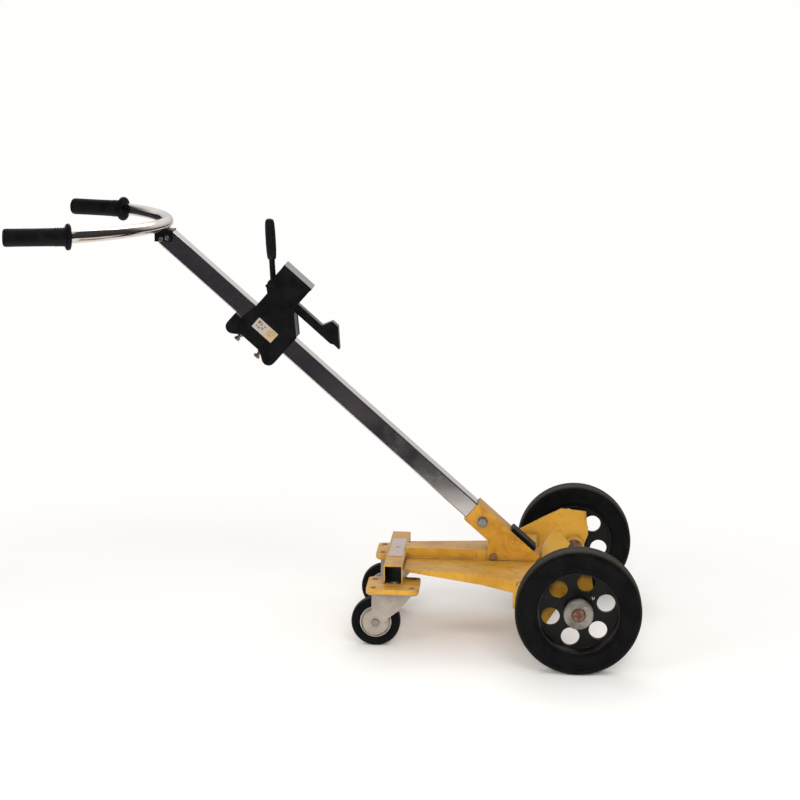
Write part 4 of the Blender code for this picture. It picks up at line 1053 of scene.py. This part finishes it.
def floor_look():
    """Pale sweep: it fades to the backdrop's white far out, and mirrors a dim room beyond the sweep."""
    look = Look("studio_floor")
    grain = look.noise(3.0, 4.0)
    look.set("Base Color", look.mix(grain, (0.93, 0.925, 0.918), (0.96, 0.955, 0.948)))
    look.set("Roughness", look.ramp(grain, 0.3, 0.7, 0.7, 0.85))
    look.set("Specular IOR Level", 0.2)
    away = look.node("ShaderNodeVectorMath", operation="LENGTH")
    look.link(look.geometry.outputs["Position"], away.inputs[0])
    path = look.node("ShaderNodeLightPath")
    far = look.ramp(away.outputs["Value"], 0.70, 1.45)
    seen = times(look, far, path.outputs["Is Camera Ray"])
    surface = white_where(look, look.shader.outputs[0], seen, WHITE)
    apart = look.node("ShaderNodeSeparateXYZ")
    look.link(look.geometry.outputs["Position"], apart.inputs[0])
    near_side = look.ramp(apart.outputs["Y"], -1.75, -0.95, 1.0, 0.0)
    sideways = look.ramp(look.math("ABSOLUTE", apart.outputs["X"]), 1.25, 1.80)
    cloud = look.noise(2.1, 3.0, 0.6)
    room = look.mix(look.ramp(cloud, 0.46, 0.70), (0.022, 0.024, 0.036), (0.150, 0.130, 0.140))
    dim = times(look, look.math("MAXIMUM", near_side, sideways), path.outputs["Is Glossy Ray"])
    surface = white_where(look, surface, dim, room)
    out = next(n for n in look.tree.nodes if n.type == "OUTPUT_MATERIAL")
    look.link(surface, out.inputs["Surface"])
    return look.mat


def pale_floor():
    bm = bmesh.new()
    bmesh.ops.create_grid(bm, x_segments=1, y_segments=1, size=14.0)
    mesh = bpy.data.meshes.new("studio_floor")
    bm.to_mesh(mesh)
    bm.free()
    floor = bpy.data.objects.new("studio_floor", mesh)
    bpy.context.scene.collection.objects.link(floor)
    floor.location = (0.0, 0.0, -0.3 * MM)
    mesh.materials.append(floor_look())


def studio_world():
    """White to the camera, soft white to matt surfaces; mirrors see a dim room with a pale backdrop
    behind and a bright ceiling."""
    world = bpy.data.worlds.new("studio")
    world.use_nodes = True
    bpy.context.scene.world = world
    tree = world.node_tree
    tree.nodes.clear()

    def made(kind, **settings):
        node = tree.nodes.new(kind)
        for key, value in settings.items():
            setattr(node, key, value)
        return node

    def ramp(source, low, high, out_low, out_high):
        node = made("ShaderNodeMapRange", interpolation_type="SMOOTHSTEP")
        for name, value in (("From Min", low), ("From Max", high),
                            ("To Min", out_low), ("To Max", out_high)):
            node.inputs[name].default_value = value
        tree.links.new(source, node.inputs["Value"])
        return node.outputs[0]

    def maths(operation, a, b):
        node = made("ShaderNodeMath", operation=operation)
        for socket, value in zip(node.inputs, (a, b)):
            if isinstance(value, float):
                socket.default_value = value
            else:
                tree.links.new(value, socket)
        return node.outputs[0]

    place = made("ShaderNodeTexCoord")
    apart = made("ShaderNodeSeparateXYZ")
    tree.links.new(place.outputs["Generated"], apart.inputs[0])
    path = made("ShaderNodeLightPath")
    behind = ramp(apart.outputs["Y"], 0.48, 0.82, 0.055, 0.95)
    low = ramp(apart.outputs["Z"], -0.05, 0.30, 0.60, 1.0)
    above = ramp(apart.outputs["Z"], 0.82, 0.95, 0.0, 0.95)
    mirrored = maths("MAXIMUM", maths("MULTIPLY", behind, low), above)
    soft = maths("MULTIPLY", maths("SUBTRACT", 1.0, path.outputs["Is Glossy Ray"]), 0.62)
    seen = maths("MULTIPLY", mirrored, path.outputs["Is Glossy Ray"])
    level = maths("MAXIMUM", maths("ADD", soft, seen), path.outputs["Is Camera Ray"])
    sky = made("ShaderNodeBackground")
    sky.inputs["Color"].default_value = WHITE
    tree.links.new(level, sky.inputs["Strength"])
    out = made("ShaderNodeOutputWorld")
    tree.links.new(sky.outputs[0], out.inputs["Surface"])


def soft_light(name, place, aim, size, watts, tint=(1.0, 0.97, 0.93)):
    data = bpy.data.lights.new(name, "AREA")
    data.shape = "RECTANGLE"
    data.size = size[0]
    data.size_y = size[1]
    data.energy = watts
    data.color = tint
    lamp = bpy.data.objects.new(name, data)
    bpy.context.scene.collection.objects.link(lamp)
    lamp.location = place
    lamp.rotation_euler = (Vector(aim) - Vector(place)).to_track_quat("-Z", "Y").to_euler()
    lamp.visible_camera = False
    lamp.visible_glossy = name == "rim"


pale_floor()
studio_world()
soft_light("key", (0.9, -3.2, 2.6), (0.1, 0.0, 0.35), (1.6, 1.6), 54.0)
soft_light("fill", (-2.0, -3.0, 1.7), (0.1, 0.0, 0.3), (1.6, 1.6), 26.0)
soft_light("rim", (0.2, 2.2, 2.6), (0.1, 0.0, 0.3), (2.2, 1.2), 26.0)
soft_light("flash", (0.30, -4.4, 1.45), (0.1, 0.0, 0.35), (0.5, 0.5), 80.0)


def photo_camera():
    """Long-lens view from the right side, a little above, turned slightly anticlockwise."""
    azimuth = math.radians(3.053)
    elevation = math.radians(9.373)
    roll = math.radians(0.87)
    back = Vector((math.cos(elevation) * math.sin(azimuth), -math.cos(elevation) * math.cos(azimuth),
                   math.sin(elevation)))
    right = Vector((math.cos(azimuth), math.sin(azimuth), 0.0))
    up = back.cross(right)
    level = right * math.cos(roll) + up * math.sin(roll)
    tall = up * math.cos(roll) - right * math.sin(roll)
    data = bpy.data.cameras.new("photo_camera")
    data.lens = 110.67
    data.sensor_width = 36.0
    data.clip_start = 0.1
    data.clip_end = 100.0
    camera = bpy.data.objects.new("photo_camera", data)
    bpy.context.scene.collection.objects.link(camera)
    turn = Matrix((level, tall, back)).transposed().to_4x4()
    camera.matrix_world = Matrix.Translation((0.395168, -5.0166, 1.3102)) @ turn
    bpy.context.scene.camera = camera


photo_camera()
bpy.context.scene.view_settings.view_transform = "Standard"
bpy.context.scene.view_settings.look = "None"
